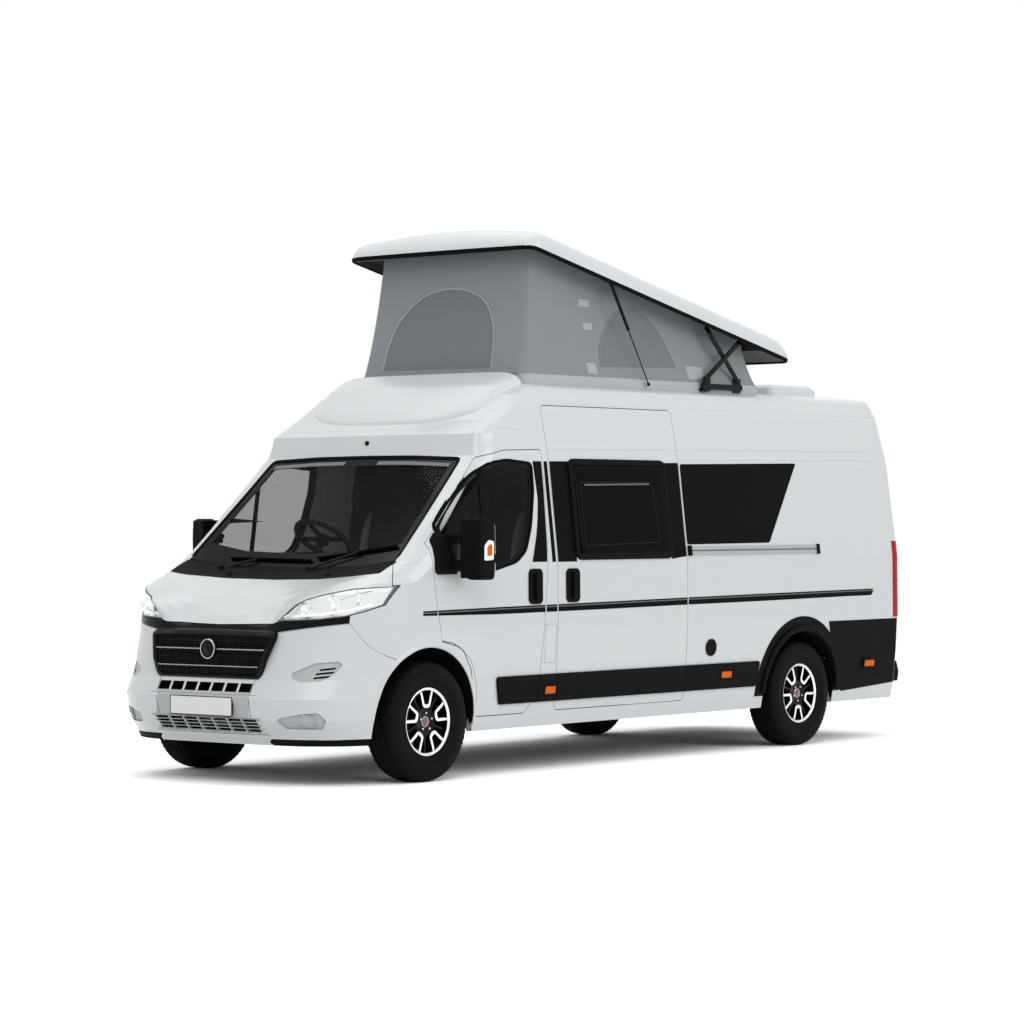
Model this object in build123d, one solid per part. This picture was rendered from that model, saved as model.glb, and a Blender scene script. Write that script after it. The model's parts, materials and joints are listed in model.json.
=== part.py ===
"""Pop-top camper van on an extra-long panel van, in millimetres.

Frame: +Z up, front of the van towards -Y, its left side towards +X, origin on the ground under the
middle of its box. Each piece is written to parts/NODE.step.
"""
from build123d import *
from math import cos, sin, radians, atan2, degrees, hypot, sqrt
import os

os.makedirs("parts", exist_ok=True)

# ---------------------------------------------------------------- driving dimensions
LENGTH = 6363.0
FRONT_OVERHANG = 948.0
WHEELBASE = 4035.0
FRONT_TRACK = 1810.0
REAR_TRACK = 1790.0
ROOF_TOP = 2524.0
SKIN = 45.0                 # depth of a whole door or wall, skin and lining together
SHUT = 5.0                  # gap between a shut panel and its neighbour
SEAT = 0.3                  # clearance between a fixed piece and its seat
GLASS_DEPTH = 5.0           # thickness of the glass
GLASS_SET = 6.0             # how far the glass lies inside the outer surface

FRONT_Y = -LENGTH / 2
REAR_Y = LENGTH / 2
FRONT_AXLE_Y = FRONT_Y + FRONT_OVERHANG
REAR_AXLE_Y = FRONT_AXLE_Y + WHEELBASE

# wheels
TYRE_RADIUS = 368.0
TYRE_WIDTH = 225.0
RIM_RADIUS = 203.0
AXLE_Z = TYRE_RADIUS
FRONT_ARCH_RADIUS = 452.0
REAR_ARCH_RADIUS = 440.0
KINGPIN_X = 835.0
SPINDLE_RADIUS = 26.0

# half section of the body, from the sill to the gutter: half width, height
SIDE = [(962, 285), (984, 400), (1008, 640), (1023, 900), (1020, 1330), (943, 1990), (876, 2336), (820, 2462)]
ROOF_SHOULDER_RADIUS = 60.0
SIDE_SOFTENING = ((3, 900), (4, 700), (6, 400))      # index in SIDE, radius

# front of the body: distance behind the front end and height on the centre line, how far the side
# sweeps back, how far the shoulder rises and how sharply (1 a step beside the lamp, 0 one soft arc),
# and how far the corner rounds back
NOSE = [
    # setback, z, bow, brow, step, corner
    (152, 200, 420, 0, 0, 0),           # under the chin
    (104, 302, 420, 0, 0, 0),           # chin
    (32, 400, 440, 0, 0, 0),            # lower lip
    (0, 530, 455, 0, 0, 0),             # number plate
    (60, 645, 455, 0, 0, 0),            # foot of the grille
    (120, 880, 450, 0, 0, 0),           # head of the grille
    (156, 966, 450, 228, 1, 0),         # lip of the bonnet and top of the lamps
    (215, 1019, 442, 200, 0.9, 0),      # bonnet, from its front back to the windscreen
    (292, 1070, 430, 175, 0.75, 0),
    (395, 1125, 350, 149, 0.55, 25),
    (512, 1175, 250, 125, 0.35, 60),
    (650, 1226, 110, 100, 0.15, 104),
    (794, 1273, -40, 75, 0, 150),       # foot of the windscreen
    (1492, 2002, 60, 0, 0, 120),        # head of the windscreen
    (1532, 2140, 70, 0, 0, 110),        # brow
    (1682, 2232, 80, 0, 0, 100),        # foot of the cab cap
    (1922, 2400, 90, 0, 0, 90),
    (2222, 2530, 100, 0, 0, 60),        # full roof height
]
NOSE_STATIONS = (0, 230, 400, 470, 540, 620, 700, 770, 830, 880, 920, 950, 975, 1000, 1020, 1040)
# up to a height: reach, depth of the corner
NOSE_ROUNDING = ((1200.0, 140.0, 230.0), (9000.0, 70.0, 110.0))
BROW_START = 450.0          # where a full step begins
BROW_END = 950.0
CORNER_START = 860.0
CORNER_SPAN = 160.0

# back of the body: y of the rear face, height
TAIL = [(3088, 100), (3088, 1500), (3066, 2050), (3012, 2400), (2930, 2560), (2900, 2700)]
TAIL_CORNER = 75.0
TAIL_SIDE_MARGIN = 1.5      # how far the rounded tail form stands outside the flank

# outlines in side view (y, z)
FRONT_DOOR = [(-1290, 372), (-1180, 470), (-1148, 640), (-1105, 1054), (-1066, 1456), (-1046, 1800),
              (-1046, 2049), (-1420, 2040), (-1657, 1993), (-1820, 1895), (-2040, 1690), (-2225, 1506),
              (-2190, 1180), (-2124, 850), (-1960, 815), (-1840, 730), (-1772, 567), (-1756, 372)]
FRONT_WINDOW = [(-1627, 1280), (-1395, 1329), (-1290, 1400), (-1217, 1554), (-1161, 1781), (-1155, 1960),
                (-1408, 1980), (-1570, 1960), (-1721, 1897), (-1885, 1787), (-2120, 1560), (-2110, 1285)]
SLIDING_DOOR = [(-985, 377), (419, 377), (426, 1200), (424, 2336), (-985, 2336)]
SIDE_WINDOW = [(-784, 1345), (252, 1345), (252, 1985), (-784, 1985)]
FLAP_DEPTH = 6.0
FUEL_FLAP = [(-1112, 684), (-998, 684), (-998, 934), (-1112, 934)]
ROOF_SPLIT = [(-1720, 2175), (-1050, 2175), (-1050, 2347), (3300, 2347)]
DOOR_HINGE_Z = ((890, 950), (1090, 1160))
SLIDE_GUIDES = (((380, 440), (1360, 1416)), ((-1000, -960), (600, 660)))       # y, z
FRAME_FOOT = 1330.0         # where the front pillar leaves the wing
WING_BACK = -1756.0         # foot of the front door, where the wing ends
PILLAR_BACK = -1050.0       # back of the front door opening

# outlines in front view (x, z), one half
LAMP = [(478, 990), (547, 1040), (600, 1088), (660, 1126), (743, 1151), (872, 1187), (1000, 1204),
        (975, 1084), (930, 1049), (865, 1019), (740, 1000)]
BONNET_EDGE = [(0, 966), (450, 976), (478, 984), (547, 1040), (600, 1088), (660, 1126), (743, 1151),
               (872, 1187), (1060, 1204)]
GRILLE_HALF = [(0, 645), (421, 645), (452, 918), (880, 980), (880, 1026), (865, 1019), (740, 1000),
               (478, 990),
               (450, 972), (0, 961)]
BUMPER_TOP = [(0, 640), (424, 640), (456, 913), (884, 976), (940, 850), (1010, 742), (1060, 742)]
WINDSCREEN = [(0, 1290), (500, 1302), (882, 1356), (805, 1985), (400, 2000), (0, 2003)]
BONNET_BACK = -2426.0
COWL_TOP = 1362.0
BONNET_HINGE = (-2381.0, 1324.0)
BONNET_HINGE_X = 800.0
BONNET_SIDE = [(1030, -2600), (888, BONNET_BACK)]    # plan view (x, y)

GRILLE_OPENING = [(404, 656), (436, 890), (0, 893)]    # one half
GRILLE_DEPTH = 30.0
GRILLE_BARS = ((711, 723), (812, 824))               # bottom, top
GRILLE_RIBS = (8, 92.0, 7.0, 14.0)                   # count, spacing, width, depth behind the surface
EMBLEM = (818.0, 62.0)                               # height and radius of the plain round boss
PLATE = (260.0, 421.0, 532.0)                        # half width, bottom, top
PLATE_PLACE = (0.0, 9.0)                            # front and back face behind the front end
LOWER_GRILLE = (7, 430.0, 4, 322.0, 404.0)           # columns, half width, rows, bottom, top
LATTICE = (13.0, 5.0)                                # width of its uprights, of its bars
AIR_SLOTS = (7, 400.0, 566.0, 618.0)                 # count, half width, bottom, top
AIR_SLOT_FILL = 0.84                                 # share of the pitch that is open
VENT_POD = [(610, 668), (700, 632), (800, 634), (858, 690), (886, 756), (760, 744)]
VENT_POD_DEPTH = 14.0
VENT_SLOTS = [(749, 648, 828), (757, 672, 836), (772, 696, 842)]    # inner, bottom, outer
VENT_SLOT = (13.0, 10.0, 38.0)                       # height, slant, depth
FOG_POD = [(560, 408), (690, 438), (806, 452), (838, 400), (806, 350), (610, 352)]
FOG_POD_DEPTH = 18.0
FOG_LAMP = (748.0, 402.0, 36.0, 5.0)                 # x, z, radius, depth of its face behind the surface
TRAY = (-2690.0, 40.0, 24.0)                         # back, drop below the chin, setback

# rear doors, rear view (x, z), one half
REAR_DOOR_FOOT = 560.0
REAR_DOOR_HEAD = 2390.0
REAR_DOOR_MARGIN = 82.0
REAR_WINDOW = [(150, 1400), (760, 1400), (720, 1960), (150, 1960)]

# pop-top, drawn shut and then tilted about its pole
LID_TILT = 12.15
LID_FRONT = -1035.0
LID_BACK = 1970.0
LID_FOOT = 2555.0
LID_HALF_WIDTH = 798.0
LID_EDGE = 115.0
LID_CROWN = 172.0
LID_WALL = 40.0
POLE_Y = 2773.0
POLE_Z = 2585.0
FRAME_HALF_WIDTH = 728.0
FRAME_WALL = 38.0
FRAME_TOP = 2545.0
FRAME_FRONT = -997.0
FRAME_BACK = 1700.0
TENT_WALL = 12.0
TENT_TOP = 85.0             # top edge above the lid's foot
TENT_HALF_WIDTH = 700.0
TENT_FRONT = -940.0         # on the shut lid
TENT_BACK = 1560.0
TENT_FOOT_FRONT = -925.0    # on the frame
TENT_FOOT_BACK = 1690.0
HATCH_HALF_WIDTH = 560.0
HATCH_Y = (-850.0, 1050.0)
CAP_HALF_WIDTH = 775.0
CAP_BACK = -1046.0
CAP_RISE = 52.0
LIGHT_HALF_WIDTH = 420.0
LIGHT_Y = (2290.0, 2900.0)
LIGHT_RISE = 34.0
ARM_WIDTH = 30.0
ARM_THICKNESS = 6.0
PIN_RADIUS = 5.0
# node, base pivot, tip, x, side of the arm that its bracket stands on
ARMS = [("lift_arms_rear", (1404, 2570), (1035, 2925), 741.0, -1),
        ("lift_arms_front", (1009, 2570), (1411, 2842), 752.0, 1)]
RAIL_ON_LID = ((860.0, 1560.0), (767.0, 780.0))     # y on the shut lid, x
STRUT_X = 756.0
TUBE_EYE = (-160.0, 2590.0)     # on the shut lid
ROD_EYE = (345.0, 2512.0)
TUBE_LENGTH = 400.0
ROD_RADIUS = 4.0

# trim
MOULDING_Y = (-1550.0, 1240.0)
MOULDING_Z = (440.0, 615.0)
REAR_FLARE_RADIUS = 545.0
RAIL_Y = (465.0, 1978.0)
RAIL_Z = (1358.0, 1418.0)
RAIL_CAP = 30.0             # length of its end caps
FRONT_HANDLE = ((-1282.0, -1146.0), (1063.0, 1287.0))       # y, z
SLIDE_HANDLE = ((-899.0, -762.0), (1067.0, 1285.0))
HANDLE_PROUD = 9.0
HANDLE_GRIP = 13.0          # half width of the grip
WATER_FILLER = (696.0, 727.0, 58.0)     # y, z, radius
TAIL_LAMP_Y = (2978.0, 3200.0)
TAIL_LAMP_Z = (881.0, 1437.0)
MIRROR_Z = (1240.0, 1600.0)

# cab and chassis
SEAT_X = 430.0
SEAT_FRONT = -1440.0
SEAT_Z = 1120.0
DASH_HALF_WIDTH = 880.0
WHEEL_Y = -1620.0
WHEEL_Z = 1475.0
WHEEL_TILT = 38.0
FLOOR_TOP = 535.0
RAIL_DROP = 165.0           # underside of the chassis rails below the floor
RAIL_X = (400.0, 480.0)
JACK_Y = (-1500.0, 1000.0)
JACK_PAD = (70.0, 110.0, 8.0)
SUBFRAME_Z = (268.0, 318.0)
STRUT_TOWER_X = 712.0
AXLE_BEAM_END = 700.0
LINER_OUTER = 955.0
FLOOR_HALF_WIDTH = 905.0
REAR_LINER_RADIUS = 432.0
TOW_BOLTS_Y = 2860.0
TOW_BOLT_SPACING = 120.0
TOW_BOLT_RADIUS = 6.5
FRONT_LINER_RADIUS = 446.0
WELL_INNER = 765.0
FRONT_LINER_INNER = 520.0


# ---------------------------------------------------------------- small helpers
def face_of(points, radius=0.0):
    """Closed face through the points, its corners rounded where a radius is given."""
    if radius:
        return make_face(FilletPolyline(*points, radius=radius, close=True))
    return make_face(Polyline(*points, close=True))


def side_prism(face, inner, outer):
    """Face drawn in (y, z), made solid between two distances to the left of the middle."""
    return extrude(Pos(inner, 0, 0) * (Plane.YZ * face), amount=outer - inner)


def front_prism(face, front, back):
    """Face drawn in (x, z), made solid between two places along the van."""
    return extrude(Pos(0, back, 0) * (Plane.XZ * face), amount=back - front)


def plan_prism(face, bottom, top):
    """Face drawn in (x, y), made solid between two heights."""
    return extrude(Pos(0, 0, bottom) * face, amount=top - bottom)


def box(x, y, z):
    """Box between pairs of limits along each axis."""
    size = Box(x[1] - x[0], y[1] - y[0], z[1] - z[0])
    return Pos((x[0] + x[1]) / 2, (y[0] + y[1]) / 2, (z[0] + z[1]) / 2) * size


def rectangle(y, z):
    """Corner points of a rectangle between two pairs of limits."""
    return [(y[0], z[0]), (y[1], z[0]), (y[1], z[1]), (y[0], z[1])]


def both_sides(points):
    """Half outline that starts and ends on the middle line, made whole."""
    return points + [(-x, z) for x, z in reversed(points) if x]


def across(solid):
    """The same piece on the other side of the van."""
    return mirror(solid, about=Plane.YZ)


def rod(x, y, z, radius, length, axis):
    """Cylinder centred on a point, along the named axis."""
    turn = {"x": (0, 90, 0), "y": (90, 0, 0), "z": (0, 0, 0)}[axis]
    return Pos(x, y, z) * Rot(*turn) * Cylinder(radius, length)


def grow(face, amount):
    """Face with its outline moved outwards, or inwards where the amount is negative."""
    return offset(face, amount=amount, kind=Kind.INTERSECTION)


def bar(start, end, x, width, thickness, eye=0.0):
    """Flat bar with round ends between two points in side view, with a pin hole at its start."""
    (y0, z0), (y1, z1) = start, end
    turn = Rot(0, 0, degrees(atan2(z1 - z0, y1 - y0)))
    slot = SlotCenterToCenter(hypot(y1 - y0, z1 - z0), width)
    face = Pos((y0 + y1) / 2, (z0 + z1) / 2) * turn * slot
    if eye:
        face -= Pos(y0, z0) * Circle(eye)
    return side_prism(face, x - thickness / 2, x + thickness / 2)


# ---------------------------------------------------------------- the body's outer form
def section_face(inset, drop, bottom):
    """Cross-section of the body, set in by inset at the sides and by drop at the roof."""
    side = [(x - inset, z) for x, z in SIDE]
    side[0] = (side[0][0], bottom)
    side[-1] = (side[-1][0], side[-1][1] - drop)
    gutter = side[-1]
    crown = ROOF_TOP - drop
    roof_arc = ThreePointArc(gutter, (gutter[0] * 0.55, crown - 16), (0, crown))
    half = make_face(Polyline((0, bottom), *side) + roof_arc + Line((0, crown), (0, bottom)))
    softening = () if inset else SIDE_SOFTENING
    for index, radius in softening + ((len(SIDE) - 1, ROOF_SHOULDER_RADIUS - inset),):
        x, z = side[index]
        near = [v for v in half.vertices() if abs(v.X - x) < 1 and abs(v.Y - z) < 1]
        half = fillet(near, radius)
    return half + mirror(half, about=Plane.YZ)


def along(table, z):
    """Value at a height, on straight runs between the rows (value, height) of a table."""
    for (v0, z0), (v1, z1) in zip(table, table[1:]):
        if z <= z1:
            return v0 + (v1 - v0) * (max(z, z0) - z0) / (z1 - z0)
    return table[-1][0]


def half_width(z):
    """Half width of the body at a height."""
    return along(SIDE, z)


def nose_line(x, back, down):
    """Front profile (y, z) of the body at a distance x from the middle."""
    sweep = (abs(x) / 1000) ** 5
    rounding = max((abs(x) - CORNER_START) / CORNER_SPAN, 0) ** 2
    line = []
    for setback, z, bow, brow, step, corner in NOSE:
        start = BROW_START * step
        rise = min(max((abs(x) - start) / (BROW_END - start), 0), 1) ** (2 - 1.5 * step)
        height = z + brow * rise - down
        reach, depth = next((reach, depth) for top, reach, depth in NOSE_ROUNDING if height < top)
        turn = max(1 - sqrt(max(half_width(height) - abs(x), 0) / reach), 0)
        line.append((FRONT_Y + setback + bow * sweep + corner * rounding + depth * turn ** 2 + back, height))
    return line


def air_in_front(back=0.0, down=0.0):
    """Everything in front of and above the nose, bonnet, windscreen and cab roof."""
    far = 5000.0
    stations = sorted({sign * x for x in NOSE_STATIONS for sign in (1, -1)})
    profiles = []
    for x in stations:
        line = nose_line(x, back, down)
        line += [(line[-1][0], far), (-far, far), (-far, 100), (line[0][0], 100)]
        profiles.append(make_face(Polyline(*[(x, y, z) for y, z in line], close=True)))
    return loft(profiles)


AIR = air_in_front()


def air_to(depth):
    """The air in front of the body, carried back until it reaches a depth behind the surface."""
    return Pos(0, depth, 0) * AIR


def tail_limit(inset):
    """Space in front of the rear face, its upright corners rounded."""
    levels = []
    for z in sorted({z for _, z in SIDE + TAIL}):
        x = half_width(z) - inset + TAIL_SIDE_MARGIN
        y = along(TAIL, z) - inset
        level = face_of([(-x, -4000), (x, -4000), (x, y), (-x, y)])
        ends = level.vertices().sort_by(Axis.Y)[-2:]
        levels.append(Pos(0, 0, z) * fillet(ends, max(TAIL_CORNER - inset, 20)))
    return loft(levels, ruled=True)


def body_form(inset, bottom):
    """Solid of the whole body, or of its inside where an inset is given."""
    form = extrude(Plane.XZ * section_face(inset, inset, bottom), amount=3400, both=True)
    form = form & tail_limit(inset)
    return form - (air_in_front(inset, inset * 0.75) if inset else AIR)


OUTER = body_form(0.0, SIDE[0][1])
INNER = body_form(SKIN, SIDE[0][1] - 60)
SHELL = OUTER - INNER


def wheel_arches():
    """Round openings in the flanks over the four wheels."""
    cuts = []
    for axle, radius in ((FRONT_AXLE_Y, FRONT_ARCH_RADIUS), (REAR_AXLE_Y, REAR_ARCH_RADIUS)):
        wheel = Circle(radius)
        face = Pos(axle, AXLE_Z) * wheel + Pos(axle, AXLE_Z - radius) * Rectangle(2 * radius, 2 * radius)
        cuts.append(side_prism(face, -1200, 1200))
    return cuts


for cut in wheel_arches():
    SHELL -= cut


def flank(out, inn, bottom=900.0, top=2340.0):
    """Skin that follows the left side, from inn to out millimetres outside of it."""
    levels = [(x, z) for x, z in SIDE if bottom < z < top]
    levels = [(half_width(bottom), bottom)] + levels + [(half_width(top), top)]
    outline = [(x + inn, z) for x, z in levels] + [(x + out, z) for x, z in reversed(levels)]
    return front_prism(make_face(Polyline(*outline, close=True)), -2500, 3080)


def side_piece(points, out, inn, radius=0.0, bottom=None, top=None):
    """Plate on or in the left side, cut to an outline in (y, z)."""
    heights = [z for _, z in points]
    low = min(heights) - 5 if bottom is None else bottom
    high = max(heights) + 5 if top is None else top
    return flank(out, inn, low, high) & side_prism(face_of(points, radius), 500, 1200)


def seam_block(face, y, z):
    """Hinge leaf or guide that bridges the seam round a door, short of the door by the seat's clearance."""
    seam = side_prism(face, 500, 1200) - side_prism(grow(face, SEAT - SHUT), 500, 1200)
    return seam & flank(-10, 5 - SKIN, *z) & box((500, 1200), y, z)


# ---------------------------------------------------------------- panels cut from the shell
parts = {}
body = SHELL

door_face = face_of(FRONT_DOOR, 18)
door_hole = side_prism(door_face, 500, 1200) & flank(40, -SKIN - SHUT, 360, 2060)
door_solid = side_prism(grow(door_face, -SHUT), 500, 1200) & flank(40, -SKIN, 360, 2060)
window_face = face_of(FRONT_WINDOW, 30)
front_door = body & door_solid
front_door -= side_prism(window_face, 500, 1200)
front_glass = flank(-GLASS_SET, -GLASS_SET - GLASS_DEPTH, 1250, 2000)
front_glass &= side_prism(grow(window_face, -SEAT), 500, 1200)
front_glass -= air_to(GLASS_SET)

slide_face = face_of(SLIDING_DOOR, 40)
slide_hole = side_prism(slide_face, 500, 1200)
sliding_door = body & side_prism(grow(slide_face, -SHUT), 500, 1200)
side_window_face = face_of(SIDE_WINDOW, 50)
side_window_hole = side_prism(side_window_face, 500, 1200)
sliding_door -= side_window_hole
side_window = flank(3, -9, 1340, 1990) & side_prism(grow(side_window_face, -SEAT), 500, 1200)

flap_face = face_of(FUEL_FLAP, 14)
flap_hole = side_prism(flap_face, 500, 1200)
fuel_flap = flank(0, -FLAP_DEPTH, 680, 940) & side_prism(grow(flap_face, -SHUT), 500, 1200)
flap_box = flank(-FLAP_DEPTH - SEAT, -SKIN, 680, 940) & side_prism(grow(flap_face, 2), 500, 1200)

parts["front_door_left"] = front_door
parts["front_door_right"] = across(front_door)
parts["front_door_glass_left"] = front_glass
parts["front_door_glass_right"] = across(front_glass)
parts["sliding_door"] = sliding_door
parts["sliding_door_window"] = side_window
parts["side_window_right"] = across(side_window)
parts["fuel_flap"] = fuel_flap

body = body - door_hole - across(door_hole)
body = body - slide_hole - across(side_window_hole)
body = body - (flap_hole & flank(5, -FLAP_DEPTH - SEAT, 680, 940))

# rear doors
rear_outline = [(SHUT / 2, REAR_DOOR_FOOT)]
for z in (REAR_DOOR_FOOT, 900, 1400, 1990, 2300):
    rear_outline.append((half_width(z) - REAR_DOOR_MARGIN, z))
rear_outline += [(half_width(REAR_DOOR_HEAD) - REAR_DOOR_MARGIN - 40, REAR_DOOR_HEAD),
                 (SHUT / 2, REAR_DOOR_HEAD + 12)]
rear_door_face = face_of(rear_outline)
rear_door = body & front_prism(rear_door_face, 2800, 3200)
rear_hole_face = face_of(both_sides([(0, REAR_DOOR_FOOT - SHUT)] + [(x + SHUT, z + (SHUT if z > 2000 else 0))
                                     for x, z in rear_outline[1:-1]] + [(0, REAR_DOOR_HEAD + 12 + SHUT)]))
rear_window_face = face_of(REAR_WINDOW, 50)
rear_window_hole = front_prism(rear_window_face, 2800, 3200)
rear_pane = front_prism(grow(rear_window_face, -SEAT), 2800, 3200)
tail_skin = tail_limit(GLASS_SET) - tail_limit(GLASS_SET + GLASS_DEPTH)
rear_glass = tail_skin & rear_pane
rear_door -= rear_window_hole
body -= front_prism(rear_hole_face, 2800, 3200)
parts["rear_door_left"] = rear_door
parts["rear_door_right"] = across(rear_door)
parts["rear_door_glass_left"] = rear_glass
parts["rear_door_glass_right"] = across(rear_glass)

# nose: bonnet, lamps, grille, bumper, windscreen
bonnet_edge = face_of([(-1060, 3000), (1060, 3000)] + list(reversed(BONNET_EDGE))
                      + [(-x, z) for x, z in BONNET_EDGE[1:]])
bonnet_plan = face_of([(-1030, -4000), (1030, -4000)] + BONNET_SIDE
                      + [(-x, y) for x, y in reversed(BONNET_SIDE)])
bonnet_space = front_prism(bonnet_edge, -4000, -2000) & plan_prism(bonnet_plan, 900, 1600)
bonnet_cut = front_prism(grow(bonnet_edge, SHUT), -4000, -2000) & plan_prism(grow(bonnet_plan, SHUT), 900,
                                                                             1600)
parts["bonnet"] = body & bonnet_space
body -= bonnet_cut

lamp_face = face_of(LAMP)
lamp_space = front_prism(lamp_face, -3400, -2450)
lamp = body & lamp_space
lamp_cut = front_prism(grow(lamp_face, 2), -3400, -2450)
body = body - lamp_cut - across(lamp_cut)

grille_face = face_of(both_sides(GRILLE_HALF))
grille_panel = body & front_prism(grille_face, -3400, -2600)
grille_opening = front_prism(face_of(both_sides(GRILLE_OPENING), 24), -3400, -2600)
grille = grille_panel - (grille_opening & air_to(GRILLE_DEPTH))
height, radius = EMBLEM
inlay = front_prism(Pos(0, height) * Circle(radius), -3400, -2600)
for low, high in GRILLE_BARS:
    inlay += box((-500, 500), (-3400, -2600), (low, high))
count, spacing, width, depth = GRILLE_RIBS
ribs = [box((x - width / 2, x + width / 2), (-3400, -2600), (640, 900))
        for x in [spacing * (index - (count - 1) / 2) for index in range(count)]]
grille += grille_panel & grille_opening & inlay
grille += (grille_panel & grille_opening & Compound(ribs)) - air_to(depth)
parts["grille"] = grille
body -= front_prism(grow(grille_face, 1), -3400, -2600)

bumper_face = face_of([(-1060, 100), (1060, 100)] + list(reversed(BUMPER_TOP)) + [(-x, z) for x,
                                                                                  z in BUMPER_TOP[1:]])
bumper = body & front_prism(bumper_face, -3400, -2500)
body -= front_prism(grow(bumper_face, 2), -3400, -2498)
columns, half, rows, low, high = LOWER_GRILLE
upright, crossbar = LATTICE
wide, tall = 2 * half / columns, (high - low) / rows
cells = [box((x - (wide - upright) / 2, x + (wide - upright) / 2), (-3300, -2900), (z + crossbar, z + tall))
         for x in [wide * (index + 0.5) - half for index in range(columns)]
         for z in [low + tall * index for index in range(rows)]]
count, half, low, high = AIR_SLOTS
pitch = 2 * half / count
reach = pitch * AIR_SLOT_FILL / 2
cells += [box((x - reach, x + reach), (-3300, -2900), (low, high))
          for x in [pitch * (index + 0.5) - half for index in range(count)]]
bumper -= Compound(cells)
pod = front_prism(face_of(VENT_POD, 22), -3400, -2600) & air_to(VENT_POD_DEPTH)
tall, slant, depth = VENT_SLOT
slots = [front_prism(face_of([(x0, z), (x1, z + slant), (x1 + slant, z + slant + tall),
                              (x0 + slant, z + tall)], 4),
                     -3400, -2600) for x0, z, x1 in VENT_SLOTS]
pod += Compound(slots) & air_to(depth)
fog_x, fog_z, fog_radius, fog_depth = FOG_LAMP
fog_pod = front_prism(face_of(FOG_POD, 20), -3400, -2600) & air_to(FOG_POD_DEPTH)
fog_lamp = bumper & front_prism(Pos(fog_x, fog_z) * Circle(fog_radius), -3400, -2600)
fog_lamp = (fog_lamp & air_to(FOG_POD_DEPTH - SEAT)) - air_to(fog_depth)
parts["headlamps"] = lamp + across(lamp) + fog_lamp + across(fog_lamp)
bumper = bumper - pod - across(pod) - fog_pod - across(fog_pod)
half, low, high = PLATE
front, back = PLATE_PLACE
parts["number_plate"] = box((-half, half), (FRONT_Y + front, FRONT_Y + back), (low, high))
bumper -= box((-half - 2, half + 2), (-3400, FRONT_Y + back + SEAT), (low - 3, high + 2))
back, drop, setback = TRAY
chin = SIDE[0][1]
tray = bumper & box((-1000, 1000), (-3400, back - setback), (chin, chin + drop + 1))
bumper += (Pos(0, setback, -drop) * tray)
parts["front_bumper"] = bumper

screen_face = face_of(both_sides(WINDSCREEN))
screen_hole = front_prism(screen_face, -3000, -1400)
screen_pane = front_prism(grow(screen_face, -SEAT), -3000, -1400)
screen_skin = air_to(GLASS_SET + 2 * GLASS_DEPTH) - air_to(GLASS_SET)
parts["windscreen"] = screen_skin & screen_pane & box((-1000, 1000), (-2600, -1500), (1250, 2050))
body -= screen_hole & box((-1000, 1000), (-2700, -1500), (1250, 2050))

cowl_space = box((-880, 880), (BONNET_BACK, -2150), (1000, COWL_TOP))
cowl = body & cowl_space
hinge_y, hinge_z = BONNET_HINGE
for side in (1, -1):
    x = side * BONNET_HINGE_X
    cowl -= box((x - 6, x + 6), (BONNET_BACK, hinge_y + 14), (hinge_z - 45, hinge_z + 60))
    cowl += rod(x, hinge_y, hinge_z, PIN_RADIUS, 14, "x")
    parts["bonnet"] += bar(BONNET_HINGE, (BONNET_BACK - 16, hinge_z - 18), x, 16, 6, PIN_RADIUS + SEAT)
parts["cowl"] = cowl
body -= box((-880.5, 880.5), (BONNET_BACK - 1, -2149), (1000, COWL_TOP + 0.5))

# what is left is split into roof, front frame, wings, sides and the sill under the rear doors
roof_face = face_of(ROOF_SPLIT + [(3300, 3000), (-1720, 3000)])
roof_space = side_prism(roof_face, -1200, 1200)
roof = body & roof_space
body -= side_prism(grow(roof_face, 0.5), -1200, 1200)
frame_face = face_of([(-3000, FRAME_FOOT), (-1700, FRAME_FOOT), (PILLAR_BACK, 2010), (PILLAR_BACK, 2600),
                      (-3000, 2600)])
frame_space = side_prism(frame_face, -1200, 1200)
parts["windscreen_frame"] = body & frame_space
body -= side_prism(grow(frame_face, 0.5), -1200, 1200)
wing_space = box((0, 1200), (-3400, WING_BACK), (100, 2600))
wing = body & wing_space
for low, high in DOOR_HINGE_Z:
    wing += seam_block(door_face, (-2300, -2050), (low, high))
parts["front_wing_left"] = wing
parts["front_wing_right"] = across(wing)
body -= box((-1200, 1200), (-3400, WING_BACK + 0.5), (100, 2600))
sill_space = box((-850, 850), (2950, 3200), (100, REAR_DOOR_FOOT + 60))
rear_sill = body & sill_space
body -= box((-850.5, 850.5), (2950, 3200), (100, REAR_DOOR_FOOT + 60))
side_left = body & box((0.25, 1200), (-1800, 3200), (100, 2600))
side_right = body & box((-1200, -0.25), (-1800, 3200), (100, 2600))
side_left += flap_box
for y, z in SLIDE_GUIDES:
    side_left += seam_block(slide_face, y, z)
parts["side_panel_left"] = side_left
parts["side_panel_right"] = side_right


# ---------------------------------------------------------------- roof, cab cap, roof light
def crown_shift(up):
    """The body's outer form lifted by a distance."""
    return Pos(0, 0, up) * OUTER


hatch = box((-HATCH_HALF_WIDTH, HATCH_HALF_WIDTH), HATCH_Y, (2300, 2700))
cap_plan = face_of([(-700, -1510), (700, -1510), (CAP_HALF_WIDTH, CAP_BACK), (-CAP_HALF_WIDTH, CAP_BACK)], 40)
cap_space = plan_prism(cap_plan, 2100, 2800)
cab_cap = (crown_shift(CAP_RISE) - crown_shift(SEAT)) & cap_space
parts["cab_cap"] = cab_cap
roof -= hatch
parts["roof_panel"] = roof
light_plan = face_of([(-LIGHT_HALF_WIDTH, LIGHT_Y[0]), (LIGHT_HALF_WIDTH, LIGHT_Y[0]),
                      (LIGHT_HALF_WIDTH, LIGHT_Y[1]), (-LIGHT_HALF_WIDTH, LIGHT_Y[1])], 60)
roof_light = plan_prism(light_plan, ROOF_TOP - 40, ROOF_TOP + LIGHT_RISE)
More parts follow.
